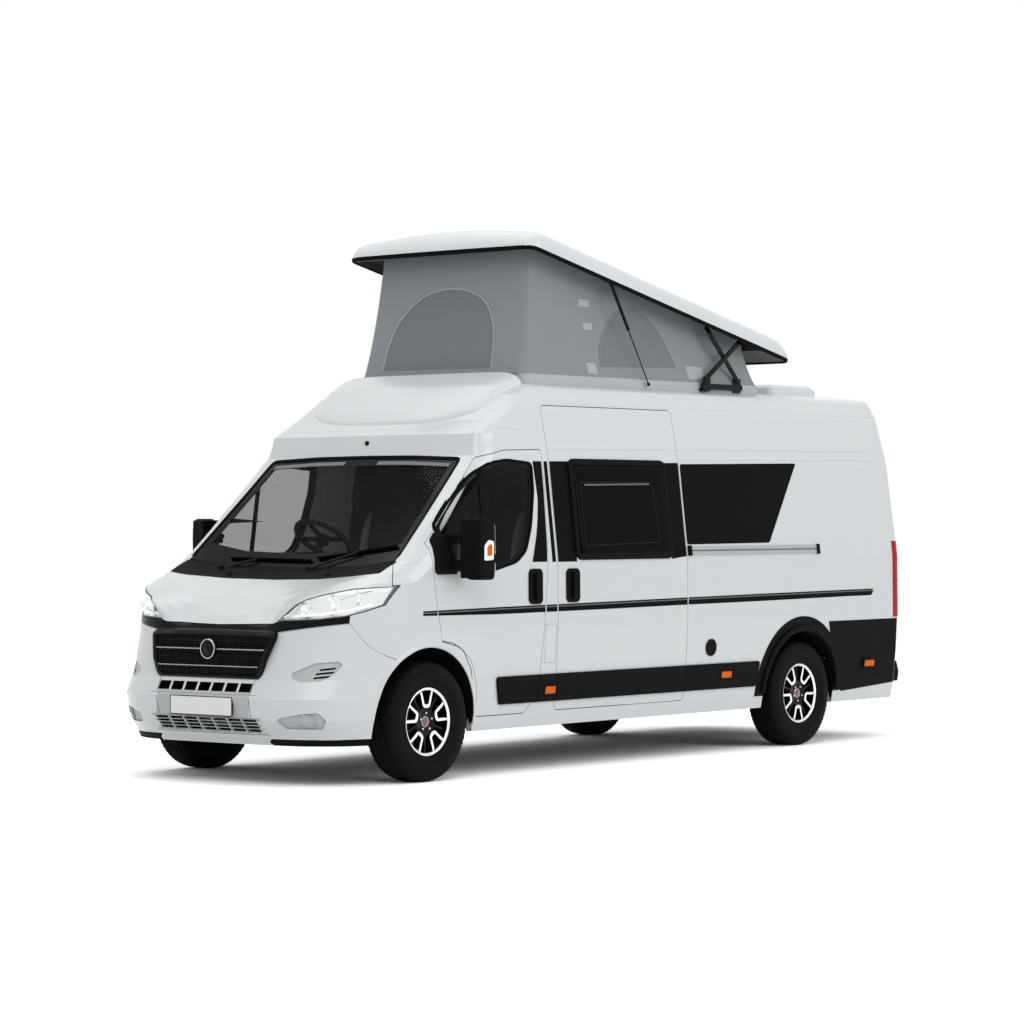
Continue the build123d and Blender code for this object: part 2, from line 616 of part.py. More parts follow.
parts["roof_light"] = roof_light - crown_shift(SEAT)


# ---------------------------------------------------------------- pop-top
def frame_ring(half_width_out, wall, front, back, bottom, top):
    """Rectangular ring with rounded corners."""
    outer = face_of([(-half_width_out, front), (half_width_out, front), (half_width_out, back),
                     (-half_width_out, back)], 60)
    return plan_prism(outer - offset(outer, amount=-wall), bottom, top)


pop_frame = frame_ring(FRAME_HALF_WIDTH, FRAME_WALL, FRAME_FRONT + 60, FRAME_BACK, ROOF_TOP - 90, FRAME_TOP)
pop_frame -= crown_shift(SEAT)

lid_section = [(LID_HALF_WIDTH, 0), (LID_HALF_WIDTH - 8, 45), (LID_HALF_WIDTH - 36, LID_EDGE)]
lid_inner = [(LID_HALF_WIDTH - 20, 0), (LID_HALF_WIDTH - 26, 45), (LID_HALF_WIDTH - 62, LID_EDGE - LID_WALL)]


def arched(points, crown):
    """Half section up the side and over an arch to the middle, closed along the bottom."""
    edge = points[-1]
    arch = ThreePointArc(edge, (edge[0] * 0.55, edge[1] + (crown - edge[1]) * 0.72), (0, crown))
    foot = Line((0, crown), (0, 0)) + Line((0, 0), points[0])
    half = make_face(Polyline(*points) + arch + foot)
    return half + mirror(half, about=Plane.YZ)


lid_ends = face_of([(LID_FRONT, 0), (LID_FRONT + 22, 40), (LID_FRONT + 86, LID_EDGE),
                    (LID_FRONT + 300, LID_CROWN + 40),
                    (LID_BACK - 330, LID_CROWN + 40), (LID_BACK - 150, LID_EDGE + 10), (LID_BACK - 10, 20),
                    (LID_BACK, 0)])
lid = front_prism(arched(lid_section, LID_CROWN), LID_FRONT, LID_BACK) & side_prism(lid_ends, -900, 900)
cavity_ends = face_of([(LID_FRONT + 60, -1), (LID_FRONT + 62, 45), (LID_FRONT + 140, 72),
                       (LID_FRONT + 340, LID_CROWN),
                       (LID_BACK - 400, LID_CROWN), (LID_BACK - 330, 72), (LID_BACK - 330, -1)])
cavity = front_prism(arched(lid_inner, LID_CROWN - LID_WALL), LID_FRONT, LID_BACK) & side_prism(cavity_ends,
                                                                                                -900, 900)
lid -= cavity
lid_plan = face_of([(-LID_HALF_WIDTH, LID_FRONT), (LID_HALF_WIDTH, LID_FRONT), (LID_HALF_WIDTH, LID_BACK),
                    (-LID_HALF_WIDTH, LID_BACK)], 70)
lid &= plan_prism(lid_plan, -10, 400)
POLE = Axis((0, POLE_Y, POLE_Z), (1, 0, 0))


def raised(piece):
    """Piece of the shut lid, carried to its raised place."""
    return (Pos(0, 0, LID_FOOT) * piece).rotate(POLE, -LID_TILT)


def raised_point(y, z):
    """Where a point of the shut lid is once it is raised."""
    turn = radians(-LID_TILT)
    dy, dz = y - POLE_Y, z - POLE_Z
    return POLE_Y + dy * cos(turn) - dz * sin(turn), POLE_Z + dy * sin(turn) + dz * cos(turn)


parts["pop_top_roof"] = raised(lid)

# tent: walls between the frame and the lid
tent_front = raised_point(TENT_FRONT, LID_FOOT + TENT_TOP)
tent_back = raised_point(TENT_BACK, LID_FOOT + TENT_TOP)
tent_face = face_of([(TENT_FOOT_FRONT, FRAME_TOP + SEAT), (TENT_FOOT_BACK, FRAME_TOP + SEAT), tent_back,
                     tent_front])
tent_block = side_prism(tent_face, -TENT_HALF_WIDTH, TENT_HALF_WIDTH)
tent_inside = side_prism(face_of([(TENT_FOOT_FRONT + TENT_WALL, FRAME_TOP - 20),
                                  (TENT_FOOT_BACK - TENT_WALL, FRAME_TOP - 20),
                                  (tent_back[0] - TENT_WALL, tent_back[1] + 60),
                                  (tent_front[0] + TENT_WALL, tent_front[1] + 60)]),
                         TENT_WALL - TENT_HALF_WIDTH, TENT_HALF_WIDTH - TENT_WALL)
parts["tent"] = tent_block - tent_inside - raised(Pos(0, 0, -SEAT) * lid)


brackets = []
for name, base, tip, x, side in ARMS:
    arm = bar(base, tip, x, ARM_WIDTH, ARM_THICKNESS, PIN_RADIUS + SEAT)
    parts[name] = arm + across(arm)
    near = x + side * (ARM_THICKNESS / 2 + SEAT)
    far = near + side * ARM_THICKNESS
    along_y = (base[0] - 45, base[0] + 45)
    plate = box(sorted((near, far)), along_y, (FRAME_TOP - 60, base[1] + 16))
    plate += box((FRAME_HALF_WIDTH - 1, max(near, far)), along_y, (FRAME_TOP - 60, FRAME_TOP - 40))
    pin_ends = sorted((x - side * ARM_THICKNESS / 2, far))
    pin = rod(sum(pin_ends) / 2, base[0], base[1], PIN_RADIUS, pin_ends[1] - pin_ends[0], "x")
    brackets += [plate, pin]
(rail_front, rail_back), rail_x = RAIL_ON_LID
lid_rail = raised(box(rail_x, (rail_front, rail_back), (4, 40)))
parts["pop_top_roof"] += lid_rail + across(lid_rail)

# gas struts: tube hung from the lid, rod down to the frame
tube_eye = raised_point(*TUBE_EYE)
strut_length = hypot(ROD_EYE[0] - tube_eye[0], ROD_EYE[1] - tube_eye[1])
strut_stroke = strut_length - hypot(ROD_EYE[0] - TUBE_EYE[0], ROD_EYE[1] - TUBE_EYE[1])
strut_angle = atan2(ROD_EYE[1] - tube_eye[1], ROD_EYE[0] - tube_eye[0])


def along_strut(distance):
    """Point at a distance down the gas strut from the eye of its tube."""
    return tube_eye[0] + distance * cos(strut_angle), tube_eye[1] + distance * sin(strut_angle)


def strut_rod(start, end, radius):
    """Round bar between two distances along the gas strut."""
    y, z = along_strut((start + end) / 2)
    shank = Rot(degrees(strut_angle), 0, 0) * (Rot(90, 0, 0) * Cylinder(radius, end - start))
    return Pos(STRUT_X, y, z) * shank


eye_ring = Rot(0, 90, 0) * (Cylinder(11, 10) - Cylinder(PIN_RADIUS + SEAT, 10))
tube = strut_rod(9, TUBE_LENGTH, 11) - strut_rod(30, TUBE_LENGTH + 1, ROD_RADIUS + SEAT)
tube += Pos(STRUT_X, *tube_eye) * eye_ring
tube -= rod(STRUT_X, *tube_eye, PIN_RADIUS + SEAT, 40, "x")
piston = strut_rod(40 + strut_stroke, strut_length - 9, ROD_RADIUS) + Pos(STRUT_X, *ROD_EYE) * eye_ring
piston -= rod(STRUT_X, *ROD_EYE, PIN_RADIUS + SEAT, 40, "x")
parts["gas_strut_tubes"] = tube + across(tube)
parts["gas_strut_rods"] = piston + across(piston)
tube_pin = rod(STRUT_X - 4, *tube_eye, PIN_RADIUS, 20, "x")
lid_lug = box((STRUT_X - 26, STRUT_X - 12), (tube_eye[0] - 16, tube_eye[0] + 16),
              (tube_eye[1] - 14, tube_eye[1] + 60))
parts["pop_top_roof"] += tube_pin + lid_lug + across(tube_pin + lid_lug)
base_lug = box((FRAME_HALF_WIDTH - 1, STRUT_X - 6), (ROD_EYE[0] - 16, ROD_EYE[0] + 16),
               (ROD_EYE[1] - 14, ROD_EYE[1] + 14))
for piece in brackets + [base_lug]:
    pop_frame += piece + across(piece)
parts["pop_top_frame"] = pop_frame

# ---------------------------------------------------------------- trim on the body
front, back = MOULDING_Y
low, high = MOULDING_Z
moulding = side_piece([(front, low), (back, low), (back + 40, high), (front - 40, high)], 14, SEAT, 20)
door_moulding = moulding & side_prism(grow(door_face, -SHUT), 500, 1300)
slide_seam = side_prism(slide_face, 500, 1300) - side_prism(grow(slide_face, -SHUT), 500, 1300)
moulding = moulding - side_prism(door_face, 500, 1300) - slide_seam
flare_ring = Pos(REAR_AXLE_Y, AXLE_Z) * Circle(REAR_FLARE_RADIUS)
flare_ring -= Pos(REAR_AXLE_Y, AXLE_Z) * Circle(REAR_ARCH_RADIUS - 4)
flare_ring -= Pos(REAR_AXLE_Y, AXLE_Z - 400) * Rectangle(1400, 800)
rear_panel_face = face_of([(REAR_AXLE_Y + 330, 869), (3060, 869), (3074, 402), (REAR_AXLE_Y + 470, 355)])
rear_panel_face -= Pos(REAR_AXLE_Y, AXLE_Z) * Circle(REAR_FLARE_RADIUS - 1)
trim = flank(16, SEAT, 360,
             950) & (side_prism(flare_ring, 500, 1300) + side_prism(rear_panel_face, 500, 1300))
trim = trim & tail_limit(-2)
trim += moulding


def handle(y, z):
    """Upright pull handle on the left side: a base and a grip with a hollow on each side of it."""
    base = side_piece(rectangle(y, z), HANDLE_PROUD, SEAT, 36)
    middle = sum(y) / 2
    grip = side_piece(rectangle((middle - HANDLE_GRIP, middle + HANDLE_GRIP), (z[0] + 24, z[1] - 24)), 26,
                      HANDLE_PROUD, 10)
    hollow = side_piece(rectangle((middle - 3 * HANDLE_GRIP, middle + 3 * HANDLE_GRIP),
                                  (z[0] + 40, z[1] - 40)), 20, 4, 18)
    return base - hollow + (grip + (base & side_prism(face_of(rectangle((middle - HANDLE_GRIP,
                                                                         middle + HANDLE_GRIP),
                                                                      (z[0] + 24, z[1] - 24)), 10), 500,
                                                      1300)))


parts["side_mouldings"] = trim + across(trim)
filler_y, filler_z, filler_radius = WATER_FILLER
filler = side_prism(Pos(filler_y, filler_z) * Circle(filler_radius), 500, 1300)
filler = filler & flank(9, SEAT, filler_z - 90, filler_z + 90)
left_trim = handle(*SLIDE_HANDLE) + filler
for y in ((RAIL_Y[0] - RAIL_CAP, RAIL_Y[0] - SEAT), (RAIL_Y[1] + SEAT, RAIL_Y[1] + RAIL_CAP)):
    left_trim += side_piece(rectangle(y, (RAIL_Z[0] - 5, RAIL_Z[1] + 5)), 18, SEAT, 5)
parts["side_mouldings"] += left_trim
rail = side_piece(rectangle(RAIL_Y, RAIL_Z), 12, SEAT, 12)
groove = side_piece(rectangle((RAIL_Y[0] - 1, RAIL_Y[1] + 1), (RAIL_Z[0] + 22, RAIL_Z[1] - 22)), 20, 7, 0)
parts["door_rail"] = rail - groove
tail_lamp = flank(6, -30, TAIL_LAMP_Z[0], TAIL_LAMP_Z[1]) & box((500, 1200), TAIL_LAMP_Y, TAIL_LAMP_Z)
tail_lamp &= tail_limit(-4)
tail_lamp_cut = flank(20, -30 - SEAT, TAIL_LAMP_Z[0] - 5, TAIL_LAMP_Z[1] + 5)
tail_lamp_cut &= box((500, 1200), (TAIL_LAMP_Y[0] - SEAT, 3200),
                     (TAIL_LAMP_Z[0] - SEAT, TAIL_LAMP_Z[1] + SEAT))
parts["tail_lamps"] = tail_lamp + across(tail_lamp)
parts["side_panel_left"] -= tail_lamp_cut
parts["side_panel_right"] -= across(tail_lamp_cut)

step = extrude(Pos(0, 3088, 0) * (Plane.XZ * face_of([(-930, 400), (930, 400), (940, 470), (920, 548),
                                                      (-920, 548), (-940, 470)])),
               amount=-(REAR_Y - 3088))
parts["rear_bumper"] = rear_sill + step

# ---------------------------------------------------------------- mirrors, handles
head_plan = face_of([(1098, -2052), (1236, -2010), (1246, -1905), (1120, -1885), (1098, -1900)], 14)
mirror_head = plan_prism(head_plan, MIRROR_Z[0], MIRROR_Z[1])
mirror_head = fillet(mirror_head.edges().filter_by(GeomType.LINE).group_by(Axis.Z)[-1], 12)
arm = box((990, 1110), (-2062, -1962), (1300, 1350)) + box((990, 1110), (-2062, -1962), (1450, 1490))
arm -= flank(SEAT, -400, 1200, 1600)
foot = flank(14, SEAT, 1262,
             1500) & side_prism(face_of([(-2172, 1264), (-1990, 1264), (-1990, 1330), (-2050, 1498),
                                                         (-2172, 1440)], 12), 800, 1300)
door_trim = mirror_head + arm + foot + door_moulding + handle(*FRONT_HANDLE)
parts["front_door_trim_left"] = door_trim
parts["front_door_trim_right"] = across(door_trim)


# ---------------------------------------------------------------- cab
seat_section = [(SEAT_FRONT, SEAT_Z - 120), (SEAT_FRONT - 20, SEAT_Z - 30), (SEAT_FRONT + 20, SEAT_Z),
                (SEAT_FRONT + 470, SEAT_Z - 25),
                (SEAT_FRONT + 590, SEAT_Z + 560), (SEAT_FRONT + 700, SEAT_Z + 560),
                (SEAT_FRONT + 620, SEAT_Z - 120)]
cushion = side_prism(face_of(seat_section, 18), -235, 235)
headrest = Pos(0, SEAT_FRONT + 650, SEAT_Z + 640) * Box(260, 90, 180)
neck = box((-60, 60), (SEAT_FRONT + 640, SEAT_FRONT + 660), (SEAT_Z + 540, SEAT_Z + 560))
pedestal = box((-200, 200), (SEAT_FRONT + 60, SEAT_FRONT + 560), (FLOOR_TOP + SEAT, SEAT_Z - 119))
seat = cushion + headrest + neck + pedestal
parts["cab_seats"] = Pos(SEAT_X, 0, 0) * seat + Pos(-SEAT_X, 0, 0) * seat
dash_section = [(-2290, 980), (-2290, 1215), (-2180, 1300), (-1900, 1310), (-1780, 1250), (-1760, 1120),
                (-1850, 1000), (-1930, 760), (-2000, 760)]
dash = side_prism(face_of(dash_section, 25), -DASH_HALF_WIDTH, DASH_HALF_WIDTH)
dash_foot = box((DASH_HALF_WIDTH - 10, 1020), (-2288, -2240), (1010, 1200)) - flank(60, -SKIN - SEAT, 1000,
                                                                                    1210)
dash += dash_foot + across(dash_foot)
parts["dashboard"] = dash
wheel_tilt = Rot(-WHEEL_TILT, 0, 0)
rim_ring = wheel_tilt * Torus(190, 15)
boss = wheel_tilt * (Cylinder(48, 40) + Box(372, 34, 14) + Pos(0, -95, 0) * Box(34, 186, 14))
column = wheel_tilt * (Pos(0, 0, -184) * Cylinder(26, 330))
steering_wheel = Pos(-SEAT_X, WHEEL_Y, WHEEL_Z) * (rim_ring + boss + column)
parts["steering_wheel"] = steering_wheel - dash

# ---------------------------------------------------------------- chassis
floor_plan = face_of([(-515, -2040), (515, -2040), (515, -1770), (FLOOR_HALF_WIDTH, -1770),
                      (FLOOR_HALF_WIDTH, 3035),
                      (-FLOOR_HALF_WIDTH, 3035), (-FLOOR_HALF_WIDTH, -1770), (-515, -1770)])
floor = plan_prism(floor_plan, FLOOR_TOP - 45, FLOOR_TOP)
well = rod(0, REAR_AXLE_Y, AXLE_Z, REAR_LINER_RADIUS + 8, 2400, "x")
well -= box((-WELL_INNER, WELL_INNER), (0, 3000), (-200, 1200))
floor -= well
for side in (1, -1):
    floor += box(sorted((side * RAIL_X[0], side * RAIL_X[1])), (-2790, 3030),
                 (FLOOR_TOP - RAIL_DROP, FLOOR_TOP - 44))
    for y in JACK_Y:
        pad_x, pad_y, pad_z = JACK_PAD
        floor += Pos(side * sum(RAIL_X) / 2, y, FLOOR_TOP - RAIL_DROP - pad_z / 2) * Box(pad_x, pad_y, pad_z)
for y in (-1700, -700, 300, 1200, 2350, 2960):
    floor += box((-900 if abs(y - REAR_AXLE_Y) > 560 else -WELL_INNER,
                  900 if abs(y - REAR_AXLE_Y) > 560 else WELL_INNER),
                 (y - 30, y + 30), (FLOOR_TOP - 110, FLOOR_TOP - 44))
floor += box((-700, 700), (-2790, -2740), (FLOOR_TOP - RAIL_DROP, FLOOR_TOP - 90))
for x in (-440, 440):
    for y in (TOW_BOLTS_Y - TOW_BOLT_SPACING / 2, TOW_BOLTS_Y + TOW_BOLT_SPACING / 2):
        floor -= rod(x, y, FLOOR_TOP - RAIL_DROP + 20, TOW_BOLT_RADIUS, 40, "z")
parts["floor_frame"] = floor


def liner(axle, radius, inner, outer):
    """Half-round cover over a wheel, closed on its inner side."""
    shell = rod((inner + outer) / 2, axle, AXLE_Z, radius + 6, outer - inner, "x")
    shell -= rod((inner + outer) / 2 + 6, axle, AXLE_Z, radius, outer - inner, "x")
    return shell & box((inner - 1, outer + 1), (axle - 900, axle + 900), (AXLE_Z + 40, AXLE_Z + 900))


rear_liner = liner(REAR_AXLE_Y, REAR_LINER_RADIUS, WELL_INNER, LINER_OUTER)
front_liner = liner(FRONT_AXLE_Y, FRONT_LINER_RADIUS, FRONT_LINER_INNER, LINER_OUTER)
parts["wheel_liners"] = rear_liner + across(rear_liner) + front_liner + across(front_liner)

engine = box((-360, 360), (FRONT_AXLE_Y - 486, FRONT_AXLE_Y - 66), (SUBFRAME_Z[1] + SEAT, 940))
parts["engine"] = fillet(engine.edges(), 30)
tank = box((60, 385), (-900, -100), (225, FLOOR_TOP - 110 - SEAT))
parts["fuel_tank"] = fillet(tank.edges().filter_by(Axis.Y), 40)

subframe = plan_prism(face_of([(-430, -246), (430, -246), (470, 134), (-470, 134)], 30), *SUBFRAME_Z)
subframe -= plan_prism(face_of([(-330, -166), (330, -166), (350, 54), (-350, 54)], 30), *SUBFRAME_Z)
knuckle_reach = KINGPIN_X + 28
for side in (1, -1):
    outline = [(400, -206), (400, -96), (560, -36), (560, 34), (400, 104), (470, 129), (640, 44),
               (knuckle_reach, 29), (knuckle_reach, -29), (640, -46)]
    arm_face = face_of([(side * x, y) for x, y in outline])
    subframe += plan_prism(arm_face, SUBFRAME_Z[0] - 28, SUBFRAME_Z[0])
    subframe += rod(side * STRUT_TOWER_X, 0, 535, 24, 556, "z")
    subframe += box(sorted((side * (STRUT_TOWER_X - 22), side * (STRUT_TOWER_X + 22))), (-30, 30), (250, 275))
    for y in (-206, 94):
        subframe += box(sorted((side * 400, side * 455)), (y - 20, y + 20),
                        (SUBFRAME_Z[1], FLOOR_TOP - RAIL_DROP))
subframe = Pos(0, FRONT_AXLE_Y, 0) * subframe - parts["engine"]
parts["front_subframe"] = subframe

knuckle = box((KINGPIN_X - 60, KINGPIN_X - 32), (FRONT_AXLE_Y - 42, FRONT_AXLE_Y + 42), (290, AXLE_Z + 110))
knuckle += box((KINGPIN_X - 60, KINGPIN_X + 26), (FRONT_AXLE_Y - 26, FRONT_AXLE_Y + 26), (268.8, 292))
knuckle += rod((KINGPIN_X - 40 + FRONT_TRACK / 2 + 60) / 2, FRONT_AXLE_Y, AXLE_Z, SPINDLE_RADIUS,
               FRONT_TRACK / 2 + 60 - KINGPIN_X + 40, "x")
parts["knuckle_left"] = knuckle
parts["knuckle_right"] = across(knuckle)

axle_beam = rod(0, REAR_AXLE_Y, AXLE_Z - 30, 45, 2 * AXLE_BEAM_END, "x")
for side in (1, -1):
    axle_beam += rod(side * (AXLE_BEAM_END + 20), REAR_AXLE_Y, AXLE_Z, 60, 84, "x")
    spindle = (AXLE_BEAM_END, REAR_TRACK / 2 + 60)
    axle_beam += rod(side * sum(spindle) / 2, REAR_AXLE_Y, AXLE_Z, SPINDLE_RADIUS, spindle[1] - spindle[0],
                     "x")
    spring_face = Pos(REAR_AXLE_Y, AXLE_Z - 89 + 1650) * (Circle(1650) - Circle(1628))
    spring_face &= Pos(REAR_AXLE_Y, AXLE_Z) * Rectangle(1240, 400)
    axle_beam += side_prism(spring_face, side * 560 - 35, side * 560 + 35)
    for end in (-600, 600):
        axle_beam += box(sorted((side * 535, side * 585)), (REAR_AXLE_Y + end - 22, REAR_AXLE_Y + end + 22),
                         (AXLE_Z + 15, FLOOR_TOP - 45 - SEAT))
parts["rear_axle"] = axle_beam - parts["floor_frame"]

# ---------------------------------------------------------------- wheels
def wheel():
    """Tyre and five-spoke wheel about the X axis, outer face towards +X, middle of the tyre at x = 0."""
    half = TYRE_WIDTH / 2
    tyre = [(RIM_RADIUS, -half * 0.78), (RIM_RADIUS + 40, -half * 0.97), (RIM_RADIUS + 92, -half),
            (TYRE_RADIUS - 26, -half * 0.93),
            (TYRE_RADIUS - 6, -half * 0.80), (TYRE_RADIUS, -half * 0.55), (TYRE_RADIUS, half * 0.55),
            (TYRE_RADIUS - 6, half * 0.80),
            (TYRE_RADIUS - 26, half * 0.93), (RIM_RADIUS + 92, half), (RIM_RADIUS + 40, half * 0.97),
            (RIM_RADIUS, half * 0.78)]
    barrel = [(RIM_RADIUS - 14, -half * 0.80), (RIM_RADIUS + 12, -half * 0.80),
              (RIM_RADIUS + 12, -half * 0.74), (RIM_RADIUS + 1, -half * 0.70),
              (RIM_RADIUS + 1, half * 0.70), (RIM_RADIUS + 12, half * 0.74), (RIM_RADIUS + 12, half * 0.86),
              (RIM_RADIUS - 2, half * 0.86),
              (RIM_RADIUS - 16, half * 0.70)]
    axis = Axis((0, 0, 0), (1, 0, 0))
    tread = revolve(Plane.XY * face_of([(x, r) for r, x in tyre]), axis)
    rim = revolve(Plane.XY * face_of([(x, r) for r, x in barrel]), axis)
    dish = [(18, SPINDLE_RADIUS + SEAT), (62, SPINDLE_RADIUS + SEAT), (62, 76), (74, RIM_RADIUS - 14),
            (50, RIM_RADIUS - 14), (32, 80), (18, 76)]
    disc = revolve(Plane.XY * face_of(dish), axis)
    pocket = face_of([(106, -14), (181, -44), (187, 0), (181, 44), (106, 14)], 9)
    between = face_of([(112, -17), (182, -38), (187, 0), (182, 38), (112, 17)], 9)
    for index in range(5):
        turn = Rot(72 * index, 0, 0)
        disc -= turn * extrude(Pos(0, 0, 0) * (Plane.YZ * pocket), amount=120)
        turn = Rot(72 * index + 36, 0, 0)
        disc -= turn * extrude(Pos(0, 0, 0) * (Plane.YZ * between), amount=120)
    cap = Pos(66, 0, 0) * Rot(0, 90, 0) * Cylinder(34, 8)
    brake = revolve(Plane.XY * face_of([(-4, SPINDLE_RADIUS + SEAT), (19, SPINDLE_RADIUS + SEAT), (19, 80),
                                        (6, 150), (-4, 150)]), axis)
    return tread + rim + disc + brake + cap


unit = wheel()
flip = Rot(0, 0, 180)
for name, x, y in (("front_left", FRONT_TRACK / 2, FRONT_AXLE_Y),
                   ("front_right", -FRONT_TRACK / 2, FRONT_AXLE_Y),
                   ("rear_left", REAR_TRACK / 2, REAR_AXLE_Y), ("rear_right", -REAR_TRACK / 2, REAR_AXLE_Y)):
    parts["wheel_" + name] = Pos(x, y, AXLE_Z) * (unit if x > 0 else flip * unit)

for name, piece in parts.items():
    export_step(piece, "parts/" + name + ".step")
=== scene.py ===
"""Pop-top camper van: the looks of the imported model, in the model's own frame.

Places and sizes are written in millimetres, and MM turns them into Blender's metres.
"""
import json

import bpy
import numpy as np
from mathutils import Matrix, Vector


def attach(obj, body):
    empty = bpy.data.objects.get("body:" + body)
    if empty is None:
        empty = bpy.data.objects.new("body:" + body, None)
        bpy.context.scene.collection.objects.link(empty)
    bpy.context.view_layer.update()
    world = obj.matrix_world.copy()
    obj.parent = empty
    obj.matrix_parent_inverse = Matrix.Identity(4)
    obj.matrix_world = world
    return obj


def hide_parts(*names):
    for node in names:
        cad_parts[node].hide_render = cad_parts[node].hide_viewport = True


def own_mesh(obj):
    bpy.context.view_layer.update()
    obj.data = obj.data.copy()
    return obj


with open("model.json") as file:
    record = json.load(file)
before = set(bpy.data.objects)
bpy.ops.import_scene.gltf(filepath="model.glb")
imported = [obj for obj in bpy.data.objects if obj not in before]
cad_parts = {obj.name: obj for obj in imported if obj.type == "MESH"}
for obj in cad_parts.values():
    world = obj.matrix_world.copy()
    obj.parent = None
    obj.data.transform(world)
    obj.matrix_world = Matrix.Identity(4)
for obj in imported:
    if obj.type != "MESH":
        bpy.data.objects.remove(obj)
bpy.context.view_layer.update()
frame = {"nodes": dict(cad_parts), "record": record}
MM = 0.001


# ---------------------------------------------------------------- materials
FULL_TURN = 6.283       # radians, by which a wave texture's scale is divided to give its waves to the metre


def linear(code):
    """Linear RGBA from an sRGB hex colour."""
    srgb = np.array([int(code[i:i + 2], 16) for i in (1, 3, 5)]) / 255
    low = srgb / 12.92
    high = ((srgb + 0.055) / 1.055) ** 2.4
    return (*np.where(srgb <= 0.04045, low, high), 1.0)


def add(tree, kind, settings=None, links=None):
    """Node of a kind, its sockets or properties set, and its inputs linked from (node, output) pairs."""
    node = tree.nodes.new(kind)
    for key, value in (settings or {}).items():
        if isinstance(key, int) or key in node.inputs:
            node.inputs[key].default_value = value
        else:
            setattr(node, key, value)
    for key, (source, output) in (links or {}).items():
        tree.links.new(source.outputs[output], node.inputs[key])
    return node


def surface(name, colour, rough, metal=0.0, grain=None, tint=None, weave=None, **sockets):
    """Material with a grained or woven surface and a slow variation of its colour and roughness.

    grain is (size, height) of its grain in mm, tint is (share, size in mm) by which the colour darkens,
    and weave is (thread spacing, height) in mm.
    """
    material = bpy.data.materials.new(name)
    material.use_nodes = True
    tree = material.node_tree
    shader = tree.nodes["Principled BSDF"]
    shader.inputs["Base Color"].default_value = linear(colour)
    shader.inputs["Roughness"].default_value = rough
    shader.inputs["Metallic"].default_value = metal
    for key, value in sockets.items():
        shader.inputs[key.replace("_", " ")].default_value = value
    place = add(tree, "ShaderNodeTexCoord")

    def pattern(kind, **settings):
        """Texture node on the piece's own coordinates."""
        return add(tree, kind, settings, {"Vector": (place, "Object")})

    if tint:
        share, size = tint
        cloud = pattern("ShaderNodeTexNoise", Scale=1000 / size, Detail=3.0)
        darker = tuple(c * (1 - share) for c in linear(colour)[:3]) + (1.0,)
        mix = add(tree, "ShaderNodeMix", {"data_type": "RGBA", 6: darker, 7: linear(colour)},
                  {0: (cloud, "Fac")})
        tree.links.new(mix.outputs[2], shader.inputs["Base Color"])
        spread = add(tree, "ShaderNodeMapRange", {"To Min": rough * 0.9, "To Max": rough * 1.1},
                     {"Value": (cloud, "Fac")})
        tree.links.new(spread.outputs["Result"], shader.inputs["Roughness"])
    source = None
    if grain:
        size, depth = grain
        source = (pattern("ShaderNodeTexNoise", Scale=1000 / size, Detail=2.0), "Fac")
    if weave:
        spacing, depth = weave
        waves = [pattern("ShaderNodeTexWave", bands_direction=axis, Scale=1000 / spacing / FULL_TURN)
                 for axis in ("X", "Y", "Z")]
        pair = add(tree, "ShaderNodeMath", {"operation": "ADD"}, {0: (waves[0], "Fac"), 1: (waves[1], "Fac")})
        total = add(tree, "ShaderNodeMath", {"operation": "ADD"}, {0: (pair, "Value"), 1: (waves[2], "Fac")})
        source = (total, "Value")
    if source:
        bump = add(tree, "ShaderNodeBump", {"Strength": 1.0, "Distance": depth * MM}, {"Height": source})
        tree.links.new(bump.outputs["Normal"], shader.inputs["Normal"])
    return material


# Solid coach paint under clear lacquer, sprayed: an even cool white with a soft gloss over faint orange peel.
WHITE_PAINT = surface("white_coach_paint", "#D9DEE0", 0.3, grain=(9, 0.012), tint=(0.015, 900),
                      Coat_Weight=0.35, Coat_Roughness=0.08)
# Polyester gelcoat on glass fibre, laid in a polished mould: a little softer in gloss than paint.
GELCOAT = surface("white_gelcoat", "#DDE1E3", 0.36, grain=(14, 0.02), tint=(0.02, 700), Coat_Weight=0.3,
                  Coat_Roughness=0.15)
# Vacuum-formed ABS, light grey, with a fine satin grain.
GREY_PLASTIC = surface("light_grey_abs", "#B7BCC0", 0.5, grain=(2.5, 0.05), tint=(0.05, 300))
# Silver-painted ABS of the lower grille: satin, faintly metallic. Drawn also along the bumper's crease, where
# its grey is painted shade.
SILVER_ABS_AND_CREASE_SHADE = surface("silver_painted_abs_and_crease_shade", "#A6AAAC", 0.42, metal=0.35, grain=(2.5, 0.03),
                         tint=(0.05, 200))
# Moulded polypropylene, black, with the leather grain of bumpers.
BLACK_PLASTIC = surface("grained_black_polypropylene", "#0E0F10", 0.62, grain=(3.0, 0.1), tint=(0.12, 90),
                        Specular_IOR_Level=0.05)
# Piano black acrylic trim, moulded in a polished tool.
GLOSS_BLACK = surface("gloss_black_acrylic", "#050606", 0.2, tint=(0.1, 150), Specular_IOR_Level=0.12)
# Extruded EPDM rubber of seals and gaskets: dead black and dull.
RUBBER = surface("epdm_seal_rubber", "#070808", 0.75, grain=(1.5, 0.05), tint=(0.1, 40),
                 Specular_IOR_Level=0.06)
# Cast vinyl film, satin black, cut and laid on the paint.
BLACK_FILM = surface("satin_black_vinyl_film", "#08090A", 0.4, grain=(6, 0.01), tint=(0.06, 500),
                     Specular_IOR_Level=0.03)
# Cast vinyl film, graphite grey, the fine line of the stripe. Laid also in the sliding door's rail groove,
# where its grey is painted shade.
GRAPHITE_FILM_AND_GROOVE_SHADE = surface("graphite_film_and_groove_shade", "#5B5F62", 0.4, tint=(0.05, 300))
# Laminated windscreen glass: clear with a grey-green edge, so that the cab shows dark behind its gloss.
WINDSCREEN_GLASS = surface("laminated_glass", "#060808", 0.03, tint=(0.05, 600), Alpha=0.16,
                           Specular_IOR_Level=0.2)
